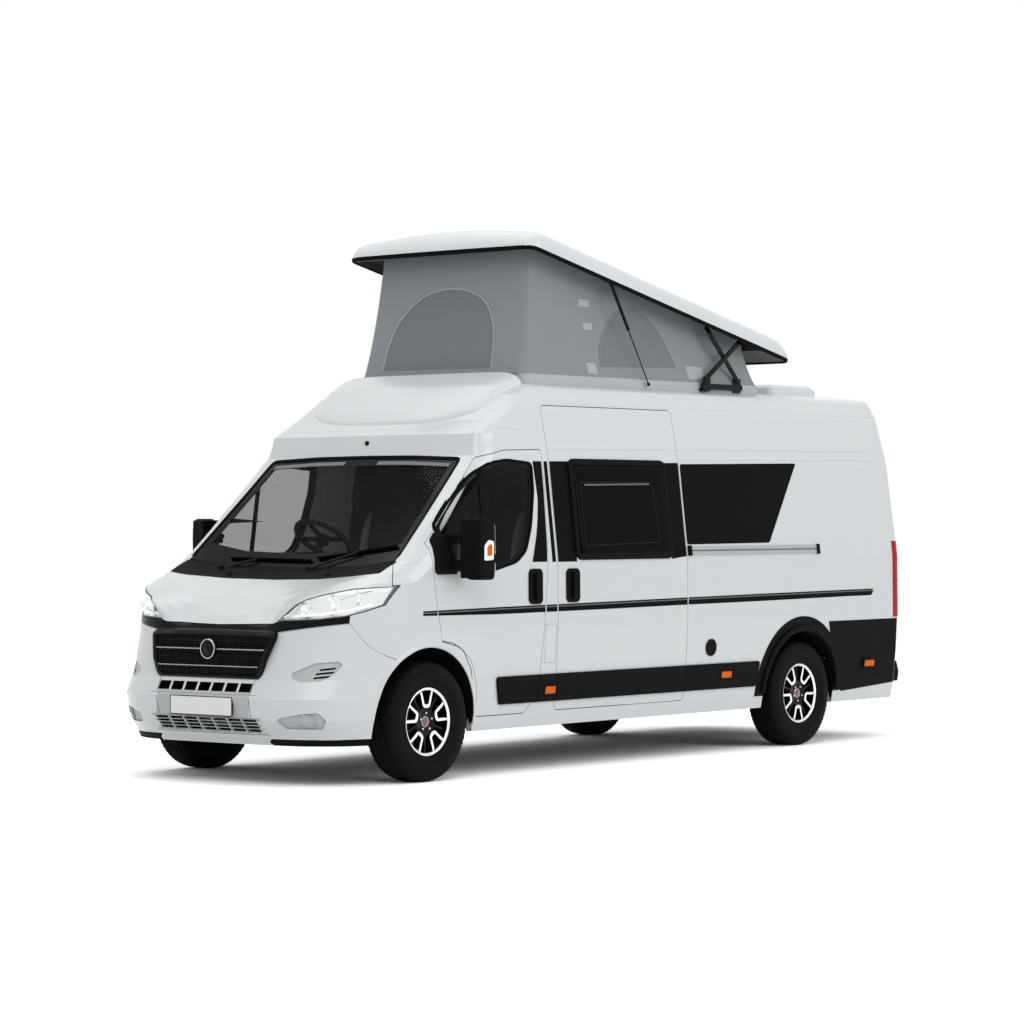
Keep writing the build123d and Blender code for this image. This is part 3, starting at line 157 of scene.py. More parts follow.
# Ceramic frit fired on the glass: black and opaque.
FRIT = surface("ceramic_frit", "#050606", 0.15, tint=(0.1, 200), Specular_IOR_Level=0.1)
# Acrylic and tempered panes with a dark privacy tint.
DARK_GLASS = surface("privacy_glass", "#08090A", 0.08, tint=(0.1, 500), Specular_IOR_Level=0.03)
# Tempered door glass, lightly tinted.
DOOR_GLASS = surface("tinted_tempered_glass", "#050606", 0.04, tint=(0.05, 500), Alpha=0.38,
                     Specular_IOR_Level=0.15)
# Polycarbonate lens, clear and hard coated.
CLEAR_LENS = surface("clear_polycarbonate", "#F2F5F6", 0.04, tint=(0.02, 100), Alpha=0.1,
                     Specular_IOR_Level=0.8)
# Vacuum-aluminised reflector bowl of a lamp.
REFLECTOR = surface("aluminised_reflector", "#F4F6F7", 0.2, metal=1.0, grain=(12, 0.15), tint=(0.06, 40))
# Frosted glass of a bulb and its lens ring, with a faint white glow of its own although the lamps are off:
# painted light.
BULB_GLASS_PAINTED_GLOW = surface("frosted_bulb_glass_painted_glow", "#F7FAFB", 0.25, tint=(0.03, 20), Coat_Weight=0.5,
                     Emission_Color=linear("#FFFFFF"), Emission_Strength=0.35)
# Acrylic lamp lens, dyed red, prisms behind it.
RED_LENS = surface("red_acrylic", "#C00A16", 0.14, grain=(5, 0.08), tint=(0.15, 60), Specular_IOR_Level=0.12)
# Acrylic side marker, dyed amber.
AMBER_LENS = surface("amber_acrylic", "#F07000", 0.2, grain=(5, 0.1), tint=(0.15, 25),
                     Specular_IOR_Level=0.12)
# Aluminium extrusion, satin anodised.
ALUMINIUM = surface("anodised_aluminium", "#AEB2B4", 0.3, metal=1.0, grain=(1.2, 0.008), tint=(0.04, 120))
# Alloy wheel face turned on a lathe and lacquered: bright, with fine turning marks.
TURNED_ALLOY = surface("turned_wheel_alloy", "#F0F1F2", 0.26, metal=0.9, grain=(1.5, 0.01), tint=(0.05, 60))
# Cast alloy wheel in gloss black enamel.
BLACK_ALLOY = surface("black_wheel_enamel", "#060607", 0.3, tint=(0.15, 60), Specular_IOR_Level=0.12)
# Ground and hard-chromed steel.
BRIGHT_STEEL = surface("ground_steel", "#B9BBBD", 0.2, metal=1.0, tint=(0.08, 40))
# Grey cast iron of the brake discs, turned, with a light bloom of rust.
BRAKE_IRON = surface("turned_brake_iron", "#6C6864", 0.4, metal=0.8, grain=(3, 0.05), tint=(0.25, 30))
# Chassis steel under black wax and paint.
CHASSIS_BLACK = surface("waxed_black_steel", "#0A0B0B", 0.5, grain=(6, 0.1), tint=(0.3, 80),
                        Specular_IOR_Level=0.1)
# Sand-cast iron and alloy of the engine, dull and a little oily.
CAST_METAL = surface("cast_engine_metal", "#3A3B3D", 0.6, metal=0.6, grain=(2, 0.2), tint=(0.3, 60))
# Dark red lacquered dome in the middle of the wheel.
RED_LACQUER = surface("dark_red_lacquer", "#6B1A28", 0.2, tint=(0.15, 20), Coat_Weight=0.8,
                      Coat_Roughness=0.04)
# Tyre rubber, vulcanised in a mould: near black, dull.
TYRE_RUBBER = surface("tyre_rubber", "#0D0D0E", 0.7, grain=(1.5, 0.05), tint=(0.2, 60),
                      Specular_IOR_Level=0.08)
# Flat-woven polyester seat cloth: its threads are too fine to draw, so a soft nap and fleck stand for them.
SEAT_CLOTH = surface("woven_seat_cloth", "#111214", 0.9, grain=(9, 0.2), tint=(0.2, 40),
                     Specular_IOR_Level=0.1)
# Light leathercloth of the seat bolsters: pressed grain on a knitted back.
LEATHERCLOTH = surface("grey_leathercloth", "#8D8F90", 0.5, grain=(2.5, 0.12), tint=(0.1, 60))
# Tent canvas, polyester coated on its back; threads drawn at 4 mm, coarser than real so that they show.
TENT_CANVAS = surface("coated_tent_canvas", "#8F9599", 0.85, weave=(4, 0.12), tint=(0.1, 260),
                      Sheen_Weight=0.15)
# Darker canvas flap and insect mesh behind the tent's zipped openings.
MESH_FABRIC = surface("dark_window_canvas", "#787E82", 0.8, weave=(5, 0.15), tint=(0.1, 200),
                      Sheen_Weight=0.1)
# Woven tape and piping, pale grey, sewn over the seams.
PALE_TAPE = surface("pale_woven_tape", "#B4B9BC", 0.8, weave=(3, 0.15), tint=(0.08, 60))
# Needled felt and foil lining under the lid, dark.
LID_LINING = surface("dark_needle_felt", "#3B3E40", 0.95, grain=(3, 0.3), tint=(0.2, 60), Sheen_Weight=0.2)
# Slush-moulded dashboard skin, dark grey, with a leather grain.
DASH_SKIN = surface("slush_moulded_pvc", "#0E0F10", 0.6, grain=(2.5, 0.1), tint=(0.12, 120),
                    Specular_IOR_Level=0.08)
# Bumper centre panel, moulded in body colour and left unlacquered: a greyer, duller white. The same grey on
# the pockets at the bumper's sides is painted shade in their hollows.
BUMPER_GREY_AND_POCKET_SHADE = surface("unlacquered_abs_and_pocket_shade", "#BEC2C4", 0.5, grain=(2.5, 0.05), tint=(0.04, 300))
# Number plate blank: white reflective film on acrylic.
PLATE_WHITE = surface("white_reflective_film", "#EEF0F1", 0.3, grain=(3, 0.02), tint=(0.02, 120),
                      Coat_Weight=0.5)

CAD_FINISH = {
    "white_paint": WHITE_PAINT, "white_gelcoat": GELCOAT, "grey_plastic": GREY_PLASTIC,
    "black_plastic": BLACK_PLASTIC, "gloss_black": GLOSS_BLACK, "glass": WINDSCREEN_GLASS,
    "dark_glass": DARK_GLASS, "lamp_clear": CLEAR_LENS, "lamp_red": RED_LENS, "aluminium": ALUMINIUM,
    "steel": BRIGHT_STEEL, "black_steel": CHASSIS_BLACK, "iron": CAST_METAL, "tyre": TYRE_RUBBER,
    "tent_fabric": TENT_CANVAS, "seat_fabric": SEAT_CLOTH,
}
OWN_FINISH = {
    "number_plate": PLATE_WHITE, "dashboard": DASH_SKIN, "front_door_glass_left": DOOR_GLASS,
    "front_door_glass_right": DOOR_GLASS, "fuel_tank": BLACK_PLASTIC, "gas_strut_rods": GLOSS_BLACK,
}
for part in frame["record"]["subparts"]:
    obj = frame["nodes"][part["node"]]
    obj.data.materials.clear()
    obj.data.materials.append(OWN_FINISH.get(part["node"], CAD_FINISH[part["material_slot"]]))


def finish_where(node, material, chosen):
    """Second finish on those faces of a CAD node whose middle and normal, in millimetres, a test picks."""
    mesh = frame["nodes"][node].data
    count = len(mesh.polygons)
    middle, normal = np.empty(count * 3, np.float32), np.empty(count * 3, np.float32)
    index = np.empty(count, np.int32)
    mesh.polygons.foreach_get("center", middle)
    mesh.polygons.foreach_get("normal", normal)
    mesh.polygons.foreach_get("material_index", index)
    mesh.materials.append(material)
    picked = chosen(middle.reshape(-1, 3).T / MM, normal.reshape(-1, 3).T)
    index[picked] = len(mesh.materials) - 1
    mesh.polygons.foreach_set("material_index", index)


# ---------------------------------------------------------------- the body's outer surface
SIDE = np.array([(962, 285), (984, 400), (1008, 640), (1023, 900), (1020, 1330), (943, 1990), (876, 2336),
                 (820, 2462)])
SIDE_SOFTENING = ((900, 900, 29), (1330, 700, 38.5), (2336, 400, 47))      # height, radius, reach
FRONT_Y = -3181.5
FRONT_AXLE_Y = -2233.5
REAR_AXLE_Y = 1801.5
AXLE_Z = 368.0
BROW_START = 450.0      # x at which the brow begins to rise
BROW_END = 950.0
BONNET_TOP = 1200.0     # height that parts the round corners of the front from the tighter ones of the cab
CORNER_REACH = (140.0, 70.0)        # width of the round corner, below and above that height
CORNER_DEPTH = (230.0, 110.0)       # how far it turns back
CORNER_START = 860.0    # x from which a row's own corner falls back
CORNER_WIDTH = 160.0
NOSE = [
    # setback, z, bow, brow, step, corner
    (152, 200, 420, 0, 0, 0), (104, 302, 420, 0, 0, 0), (32, 400, 440, 0, 0, 0), (0, 530, 455, 0, 0, 0),
    (60, 645, 455, 0, 0, 0), (120, 880, 450, 0, 0, 0), (156, 966, 450, 228, 1, 0),
    (215, 1019, 442, 200, 0.9, 0), (292, 1070, 430, 175, 0.75, 0), (395, 1125, 350, 149, 0.55, 25),
    (512, 1175, 250, 125, 0.35, 60), (650, 1226, 110, 100, 0.15, 104), (794, 1273, -40, 75, 0, 150),
    (1492, 2002, 60, 0, 0, 120), (1532, 2140, 70, 0, 0, 110), (1682, 2232, 80, 0, 0, 100),
    (1922, 2400, 90, 0, 0, 90), (2222, 2530, 100, 0, 0, 60),
]
TAIL = np.array([(3088, 100), (3088, 1500), (3066, 2050), (3012, 2400), (2930, 2560), (2900, 2700)])


def flank_x(z):
    """Half width of the body: straight runs between the rows of SIDE, rounded near the soft corners."""
    x = np.interp(z, SIDE[:, 1], SIDE[:, 0])
    for height, radius, reach in SIDE_SOFTENING:
        x = x - np.maximum(reach - np.abs(z - height), 0) ** 2 / (2 * radius)
    return x


def nose_y(x, z):
    """Front surface at (x, z): rows of NOSE swept back with the fifth power of x, straight between rows."""
    x, z = np.abs(np.asarray(x, float)), np.asarray(z, float)
    rows = []
    for setback, height, bow, brow, step, corner in NOSE:
        start = BROW_START * step
        rise = np.clip((x - start) / (BROW_END - start), 0, 1) ** (2 - 1.5 * step)
        height = height + brow * rise
        reach = np.where(height < BONNET_TOP, *CORNER_REACH)
        depth = np.where(height < BONNET_TOP, *CORNER_DEPTH)
        side = np.interp(height, SIDE[:, 1], SIDE[:, 0])
        turn = np.maximum(1 - np.sqrt(np.maximum(side - x, 0) / reach), 0)
        back = np.maximum((x - CORNER_START) / CORNER_WIDTH, 0) ** 2
        rows.append((FRONT_Y + setback + bow * (x / 1000) ** 5 + corner * back + depth * turn ** 2, height))
    y = rows[0][0] + 0 * z
    for (y0, z0), (y1, z1) in zip(rows, rows[1:]):
        share = (z - z0) / (z1 - z0)
        y = np.where(share >= 0, y0 + (y1 - y0) * np.minimum(share, 1), y)
    return y


def reached(steps, table, target):
    """The step at which each column of a rising table comes to its target, straight between rows."""
    count = np.clip((table < target).sum(0), 1, len(steps) - 1)
    columns = np.arange(len(target))
    low, high = table[count - 1, columns], table[count, columns]
    share = np.clip((target - low) / np.maximum(high - low, 1e-6), 0, 1)
    return steps[count - 1] + (steps[count] - steps[count - 1]) * share


def skin_x(y, z):
    """Half width at (y, z): the flank, and ahead of it the x at which the nose surface reaches that y."""
    y, z = np.broadcast_arrays(np.asarray(y, float), np.asarray(z, float))
    steps = np.linspace(500, 1040, 90)
    front = np.maximum.accumulate(nose_y(steps[:, None], z.ravel()[None, :]), axis=0)
    x = reached(steps, front, y.ravel())
    return np.minimum(x.reshape(y.shape), flank_x(z))


def on_side(side):
    """Places (y, z, lift) on the left side of the body, or on the right one for -1."""
    return lambda y, z, lift: np.stack([side * (skin_x(y, z) + lift), y + 0 * lift, z + 0 * lift], -1)


def on_nose(x, z, lift):
    """Places (x, z) on the front surface, lifted forward."""
    return np.stack([x + 0 * lift, nose_y(x, z) - lift, z + 0 * lift], -1)


def on_tail(x, z, lift):
    """Places (x, z) on the rear surface, lifted backward."""
    return np.stack([x + 0 * lift, np.interp(z, TAIL[:, 1], TAIL[:, 0]) + lift, z + 0 * lift], -1)


# ---------------------------------------------------------------- ways of making a piece
SHARP_ANGLE = 35.0      # degrees between faces, above which their edge is shaded sharp
POLE_SHARE = 0.12       # size of a pane's innermost ring by that of its outline


def make_piece(name, points, faces, material, body, smooth=True):
    """Closed mesh of points in millimetres, turned so that its volume is positive, carried by a body."""
    points = np.asarray(points, float).reshape(-1, 3)
    centre = points.mean(0)
    by_size = {}
    for face in faces:
        by_size.setdefault(len(face), []).append(face)
    volume = 0.0
    for group in by_size.values():
        corner = points[np.array(group)] - centre
        volume += np.einsum("nj,nkj->", corner[:, 0], np.cross(corner[:, 1:-1], corner[:, 2:]))
    if volume < 0:
        faces = [face[::-1] for face in faces]
    mesh = bpy.data.meshes.new(name)
    mesh.from_pydata((points * MM).tolist(), [], faces)
    mesh.polygons.foreach_set("use_smooth", [smooth] * len(faces))
    if smooth:
        mesh.set_sharp_from_angle(angle=np.radians(SHARP_ANGLE))
    mesh.materials.append(material)
    piece = bpy.data.objects.new(name, mesh)
    bpy.context.scene.collection.objects.link(piece)
    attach(piece, body)
    return piece


def grid_faces(rows, columns, closed):
    """Quads between the rings of a grid. Its columns meet all round, and its rows do where it closes."""
    row, column = np.meshgrid(np.arange(rows - (not closed)), np.arange(columns), indexing="ij")
    next_row, next_column = (row + 1) % rows, (column + 1) % columns
    quads = [row * columns + column, next_row * columns + column,
             next_row * columns + next_column, row * columns + next_column]
    return np.stack(quads, -1).reshape(-1, 4).tolist()


def fan_faces(rows, columns):
    """Triangles from a grid's first and last rings to two poles, whose points follow the grid's."""
    step = np.arange(columns)
    after = (step + 1) % columns
    pole, last = rows * columns, (rows - 1) * columns
    first_fan = np.stack([np.full(columns, pole), step, after], -1)
    last_fan = np.stack([np.full(columns, pole + 1), last + after, last + step], -1)
    return np.concatenate([first_fan, last_fan]).tolist()


def loop_mesh(rings, closed=False):
    """Points and faces of the skin over a row of closed rings, with a cap on each end unless it closes."""
    rings = np.asarray(rings, float)
    rows, columns = rings.shape[:2]
    faces = grid_faces(rows, columns, closed)
    if not closed:
        faces += [list(range(columns)), list(range((rows - 1) * columns, rows * columns))]
    return rings.reshape(-1, 3), faces


def joined(name, meshes, material, body, smooth=True):
    """One piece of several closed meshes, each given as its points and faces."""
    points, faces, first = [], [], 0
    for part_points, part_faces in meshes:
        points.append(part_points)
        faces += [[index + first for index in face] for face in part_faces]
        first += len(part_points)
    return make_piece(name, np.concatenate(points), faces, material, body, smooth)


def loop_piece(name, rings, material, body, closed=False):
    """Piece of one skin over closed rings."""
    return joined(name, [loop_mesh(rings, closed)], material, body)


def rounded(corners, radius, steps=5):
    """Closed outline whose corners are parabolic arcs that begin and end a radius away from each corner."""
    corners = np.asarray(corners, float)
    before, after = np.roll(corners, 1, 0) - corners, np.roll(corners, -1, 0) - corners
    near = np.linalg.norm(before, axis=1, keepdims=True)
    far = np.linalg.norm(after, axis=1, keepdims=True)
    start = corners + before / near * np.minimum(radius, 0.45 * near)
    end = corners + after / far * np.minimum(radius, 0.45 * far)
    t = np.linspace(0, 1, steps)[None, :, None]
    arcs = (1 - t) ** 2 * start[:, None] + 2 * t * (1 - t) * corners[:, None] + t ** 2 * end[:, None]
    return arcs.reshape(-1, 2)


def box_outline(low_a, high_a, low_b, high_b, radius, steps=5):
    """Rounded rectangle from its limits along both axes."""
    return rounded([(low_a, low_b), (high_a, low_b), (high_a, high_b), (low_a, high_b)], radius, steps)


def dense(outline, spacing, closed=True):
    """Outline with points added on its runs so that none is longer than about the spacing."""
    outline = np.asarray(outline, float)
    ends = np.roll(outline, -1, 0) if closed else outline[1:]
    runs = []
    for start, end in zip(outline, ends):
        count = max(int(np.linalg.norm(end - start) // spacing), 1)
        runs.append(start + (end - start) * np.linspace(0, 1, count, endpoint=False)[:, None])
    if not closed:
        runs.append(outline[-1:])
    return np.concatenate(runs)


def shifted(outline, distance, closed=True):
    """Outline moved along its own normal, which points outward on a closed outline."""
    sign = 1.0
    if closed:
        along = np.roll(outline, -1, 0) - np.roll(outline, 1, 0)
        x, y = outline[:, 0], outline[:, 1]
        sign = np.sign(np.sum(x * np.roll(y, -1) - np.roll(x, -1) * y))
    else:
        along = np.gradient(outline, axis=0)
    along = along / np.linalg.norm(along, axis=1, keepdims=True)
    return outline + sign * distance * np.stack([along[:, 1], -along[:, 0]], -1)


def inside(outline, a, b):
    """True for points (a, b) in a closed outline: a level line from each crosses it an odd number of times.

    Along a run from one corner to the next, the line meets it where a equals its start plus slope times rise.
    """
    ends = np.roll(outline, -1, 0)
    rise = ends[:, 1] - outline[:, 1]
    slope = (ends[:, 0] - outline[:, 0]) / np.where(rise == 0, 1, rise)
    crossing = outline[:, 0][:, None] + slope[:, None] * (b - outline[:, 1][:, None])
    spans = (outline[:, 1][:, None] > b) != (ends[:, 1][:, None] > b)
    return (spans & (a < crossing)).sum(0) % 2 == 1


def on_plane(axis, at, outward=1):
    """Places (a, b, lift) on a plane square to an axis, a and b being the other two axes in their order."""
    def place(a, b, lift):
        points = [a, b]
        points.insert(axis, at + outward * lift)
        return np.stack(points, -1)
    return place


def laid(points, lift, place):
    """Points (a, b) put on a surface by its placing function, all at one lift."""
    return place(*points.T, np.full(len(points), float(lift)))


def bead(name, outline, profile, place, material, body, closed=True, spacing=60):
    """Profile of (offset, lift) points carried along an outline that lies on a surface."""
    outline = dense(outline, spacing, closed)
    columns = [laid(shifted(outline, offset, closed), lift, place) for offset, lift in profile]
    return loop_piece(name, np.stack(columns, 1), material, body, closed)


def pane(name, outline, levels, place, material, body, rings=6, spacing=60):
    """Closed plate on a surface: rings of the outline drawn in towards its middle, at the given lifts.

    levels is a row of (inset, lift) from the front face's rim to the back's.
    """
    outline = dense(outline, spacing)
    middle = outline.mean(0)
    front, back = levels[0], levels[-1]
    shares = np.linspace(POLE_SHARE, 1 - POLE_SHARE, rings)
    rows = [(middle + (shifted(outline, -front[0]) - middle) * share, front[1]) for share in shares]
    rows += [(shifted(outline, -inset), lift) for inset, lift in levels]
    rows += [(middle + (shifted(outline, -back[0]) - middle) * share, back[1]) for share in shares[::-1]]
    grid = np.stack([laid(points, lift, place) for points, lift in rows])
    poles = np.concatenate([laid(middle[None], lift, place) for lift in (front[1], back[1])])
    faces = grid_faces(*grid.shape[:2], False) + fan_faces(*grid.shape[:2])
    return make_piece(name, np.concatenate([grid.reshape(-1, 3), poles]), faces, material, body)


def ribbon(name, lower, upper, profile, place, material, body, spacing=60):
    """Closed profile of (share, lift) points carried between two edges that lie on a surface."""
    lower, upper = np.asarray(lower, float), np.asarray(upper, float)
    t = np.linspace(0, 1, len(lower))
    steps = np.linspace(0, 1, max(int(np.linalg.norm(lower[-1] - lower[0]) // spacing), 2))
    low = np.stack([np.interp(steps, t, lower[:, k]) for k in (0, 1)], -1)
    high = np.stack([np.interp(steps, t, upper[:, k]) for k in (0, 1)], -1)
    rings = [laid(low + (high - low) * share, lift, place) for share, lift in profile]
    return loop_piece(name, np.stack(rings, 1), material, body)


def flat_profile(lift, foot, across=6):
    """Profile of a thin film or plate between two edges: up, across and down again."""
    shares = np.linspace(0, 1, across)
    return [(share, lift) for share in shares] + [(share, foot) for share in shares[::-1]]


def scaled_rings(plan, levels):
    """Level copies of a plan (x, y), each at a height and a share of the plan's size about its middle."""
    centre = plan.mean(0)
    rings = []
    for z, share in levels:
        rings.append(np.concatenate([centre + (plan - centre) * share, np.full((len(plan), 1), z)], 1))
    return np.array(rings)


def sweep(path, profile, up):
    """Rings of a flat profile carried along a path, on axes square to it, the second one nearest to up."""
    path, profile = np.asarray(path, float), np.asarray(profile, float)
    ahead = np.gradient(path, axis=0)
    ahead /= np.linalg.norm(ahead, axis=1, keepdims=True)
    across = np.cross(ahead, np.broadcast_to(np.asarray(up, float), path.shape))
    across /= np.linalg.norm(across, axis=1, keepdims=True)
    top = np.cross(across, ahead)
    return path[:, None] + profile[None, :, :1] * across[:, None] + profile[None, :, 1:] * top[:, None]


def rod(name, path, profile, up, material, body):
    """Piece of one profile swept along a path."""
    return loop_piece(name, sweep(path, profile, up), material, body)


def ring(radius, steps=12, squash=1.0):
    """Circle, or an oval where squash is not 1."""
    turn = np.linspace(0, 2 * np.pi, steps, endpoint=False)
    return np.stack([radius * np.cos(turn), radius * squash * np.sin(turn)], -1)


def curve(points, steps=24):
    """Smooth path through points: a Catmull-Rom spline, four points at a time."""
    points = np.asarray(points, float)
    points = np.concatenate([2 * points[:1] - points[1:2], points, 2 * points[-1:] - points[-2:-1]])
    a, b, c, d = (run[:, None] for run in (points[:-3], points[1:-2], points[2:-1], points[3:]))
    t = np.linspace(0, 1, steps, endpoint=False)[None, :, None]
    cubic = (3 * b - a - 3 * c + d) * t ** 3
    run = 0.5 * (2 * b + (c - a) * t + (2 * a - 5 * b + 4 * c - d) * t ** 2 + cubic)
    return np.concatenate([run.reshape(-1, points.shape[1]), points[-2:-1]])


def turned_mesh(profile, steps=64, axis="x"):
    """Points and faces of a closed profile of (along, radius) points turned about an axis."""
    profile = np.asarray(profile, float)
    turn = np.linspace(0, 2 * np.pi, steps, endpoint=False)[:, None]
    along, radius = profile[None, :, 0] + 0 * turn, profile[None, :, 1]
    order = {"x": (0, 1, 2), "y": (1, 2, 0), "z": (2, 0, 1)}[axis]
    points = np.empty((steps, len(profile), 3))
    for place, values in zip(order, (along, radius * np.cos(turn), radius * np.sin(turn))):
        points[:, :, place] = values
    return loop_mesh(points, True)


def turned(name, profile, centre, material, body, axis, steps):
    """Piece of one profile turned about an axis through a centre."""
    points, faces = turned_mesh(profile, steps, axis)
    return joined(name, [(points + np.asarray(centre, float), faces)], material, body)


# ---------------------------------------------------------------- films, seals and markers on the flanks
SIDES = (("left", 1), ("right", -1))
STRIPE_END = 2690       # where the stripe is cut off, its top edge running on further than its bottom
STRIPE_SLANT = 34
BAND_SHORT = 8          # how much sooner its lower band ends
STRIPE = np.array([(-2300, 1042, 1014), (-1561, 1052, 1008), (-539, 1062, 1015), (339, 1072, 1024),
                   (1277, 1081, 1031), (2281, 1089, 1042), (2760, 1092, 1046)])     # y, top, bottom
STRIPE_RUNS = [
    # name, side (0 both), front y, back y, body
    ("wing", 0, -2300, -2167, "body"), ("door", 0, -2157, -1115, "front_door_"),
    ("pillar", 1, -1100, -992, "body"), ("slider", 1, -978, 417, "body"),
    ("quarter", 1, 432, STRIPE_END, "body"), ("long", -1, -1100, STRIPE_END, "body"),
]
STRIPE_LINES = [
    # name, top and bottom below the stripe's top (None is its bottom edge), finish
    ("fine", 0, 9, BLACK_FILM), ("grey", 9, 16, GRAPHITE_FILM_AND_GROOVE_SHADE), ("band", 16, None, BLACK_FILM),
]
FILM_LIFT = 1.6
FILM_FOOT = -3.0


def stripe_line(y, below):
    """Height of the stripe at places along it, below its top edge, or of its bottom edge."""
    if below is None:
        return np.interp(y, STRIPE[:, 0], STRIPE[:, 2])
    return np.interp(y, STRIPE[:, 0], STRIPE[:, 1]) - below


def carried(carrier, side_name):
    """Body that carries a piece on one side: there is a door on each side, and one body."""
    return "body" if carrier == "body" else carrier + side_name


for run, only, start, end, carrier in STRIPE_RUNS:
    for side_name, side in SIDES:
        if only in (0, side):
            for line, top, bottom, finish in STRIPE_LINES:
                cut = end == STRIPE_END
                back = end - BAND_SHORT * (cut and line == "band")
                y = np.linspace(start, back, max(int((back - start) / 50), 3))
                lower = np.stack([y, stripe_line(y, bottom)], -1)
                upper = np.stack([y + STRIPE_SLANT * cut * (y == y[-1]), stripe_line(y, top)], -1)
                ribbon(f"stripe_{run}_{line}_{side_name}", lower, upper,
                       flat_profile(FILM_LIFT, FILM_FOOT, 3), on_side(side), finish,
                       carried(carrier, side_name), 50)

FILM_PATCHES = [
    # name, side (0 both), body, corner radius, outline (y, z)
    ("door_pillar", 0, "front_door_", 5,
     [(-1146, 1971), (-1125, 1850), (-1124, 1750), (-1149, 1600), (-1188, 1450), (-1240, 1330),
      (-1090, 1330), (-1077, 1456), (-1060, 1800), (-1058, 1971)]),
    ("pillar", 0, "body", 3, [(-1036, 1328), (-1000, 1328), (-1000, 1971), (-1034, 1971)]),
    ("window_front", 0, "body", 4, [(-976, 1328), (-782, 1328), (-782, 1975), (-976, 1972)]),
    ("window_back", 0, "body", 4, [(250, 1334), (415, 1351), (415, 1979), (250, 1976)]),
    ("rear_quarter", 0, "body", 22, [(435, 1971), (1827, 1993), (1409, 1435), (435, 1429)]),
]
for name, only, carrier, radius, outline in FILM_PATCHES:
    for side_name, side in SIDES:
        pane(f"film_{name}_{side_name}", rounded(outline, radius), [(0, FILM_LIFT), (0, FILM_FOOT)],
             on_side(side), BLACK_FILM, carried(carrier, side_name), rings=8, spacing=45)

MARKERS = [
    # front y, back y, bottom, top, lift
    (-1108, -994, 482, 541, 14), (816, 944, 507, 563, 14), (2597, 2733, 521, 579, 16),
]
for number, (front, back, low, high, lift) in enumerate(MARKERS):
    for side_name, side in SIDES:
        outline = box_outline(front, back, low, high, 10)
        bead(f"marker_rim_{number}_{side_name}", outline,
             [(6, lift - 3), (6, lift + 4), (-5, lift + 4), (-5, lift - 3)], on_side(side), BLACK_PLASTIC,
             "body", spacing=30)
        pane(f"marker_lens_{number}_{side_name}", shifted(outline, -5),
             [(8, lift + 6), (3, lift + 5), (0, lift + 1), (0, lift - 4)], on_side(side), AMBER_LENS, "body",
             4, 20)

PRESSED_LINES = [
    # name, lower edge (y, z) from front to back
    ("upper", [(-950, 2053), (452, 2069), (2941, 2095)]), ("lower", [(443, 2001), (2932, 2030)]),
]
PRESSED_HEIGHT = 13
PRESSED_PROFILE = [(0, -2), (0, 3.2), (0.35, 2.6), (1, 0.2), (1, -2)]
for name, line in PRESSED_LINES:
    for side_name, side in SIDES:
        lower = np.array(line, float)
        ribbon(f"pressed_line_{name}_{side_name}", lower, lower + (0, PRESSED_HEIGHT), PRESSED_PROFILE,
               on_side(side), WHITE_PAINT, "body", 60)

FRONT_WINDOW = [(-1627, 1280), (-1395, 1329), (-1290, 1400), (-1217, 1554), (-1161, 1781), (-1155, 1960),
                (-1408, 1980), (-1570, 1960), (-1721, 1897), (-1885, 1787), (-2120, 1560), (-2110, 1285)]
SIDE_WINDOW_OUTER = box_outline(-784, 252, 1345, 1985, 50)
SIDE_WINDOW_INNER = [(-734, 1364), (237, 1370), (226, 1955), (-749, 1940)]
SIDE_WINDOW_PANE = [(-692, 1428), (110, 1448), (84, 1846), (-695, 1837)]

opening = rounded(FRONT_WINDOW, 40)
reveal = shifted(opening, 5)


def arc(centre_y, radius, first, last, steps):
    """Arc about an axle at centre_y, as points (y, z), between two angles in degrees."""
    turn = np.radians(np.linspace(first, last, steps))
    return np.stack([centre_y + radius * np.cos(turn), AXLE_Z + radius * np.sin(turn)], -1)


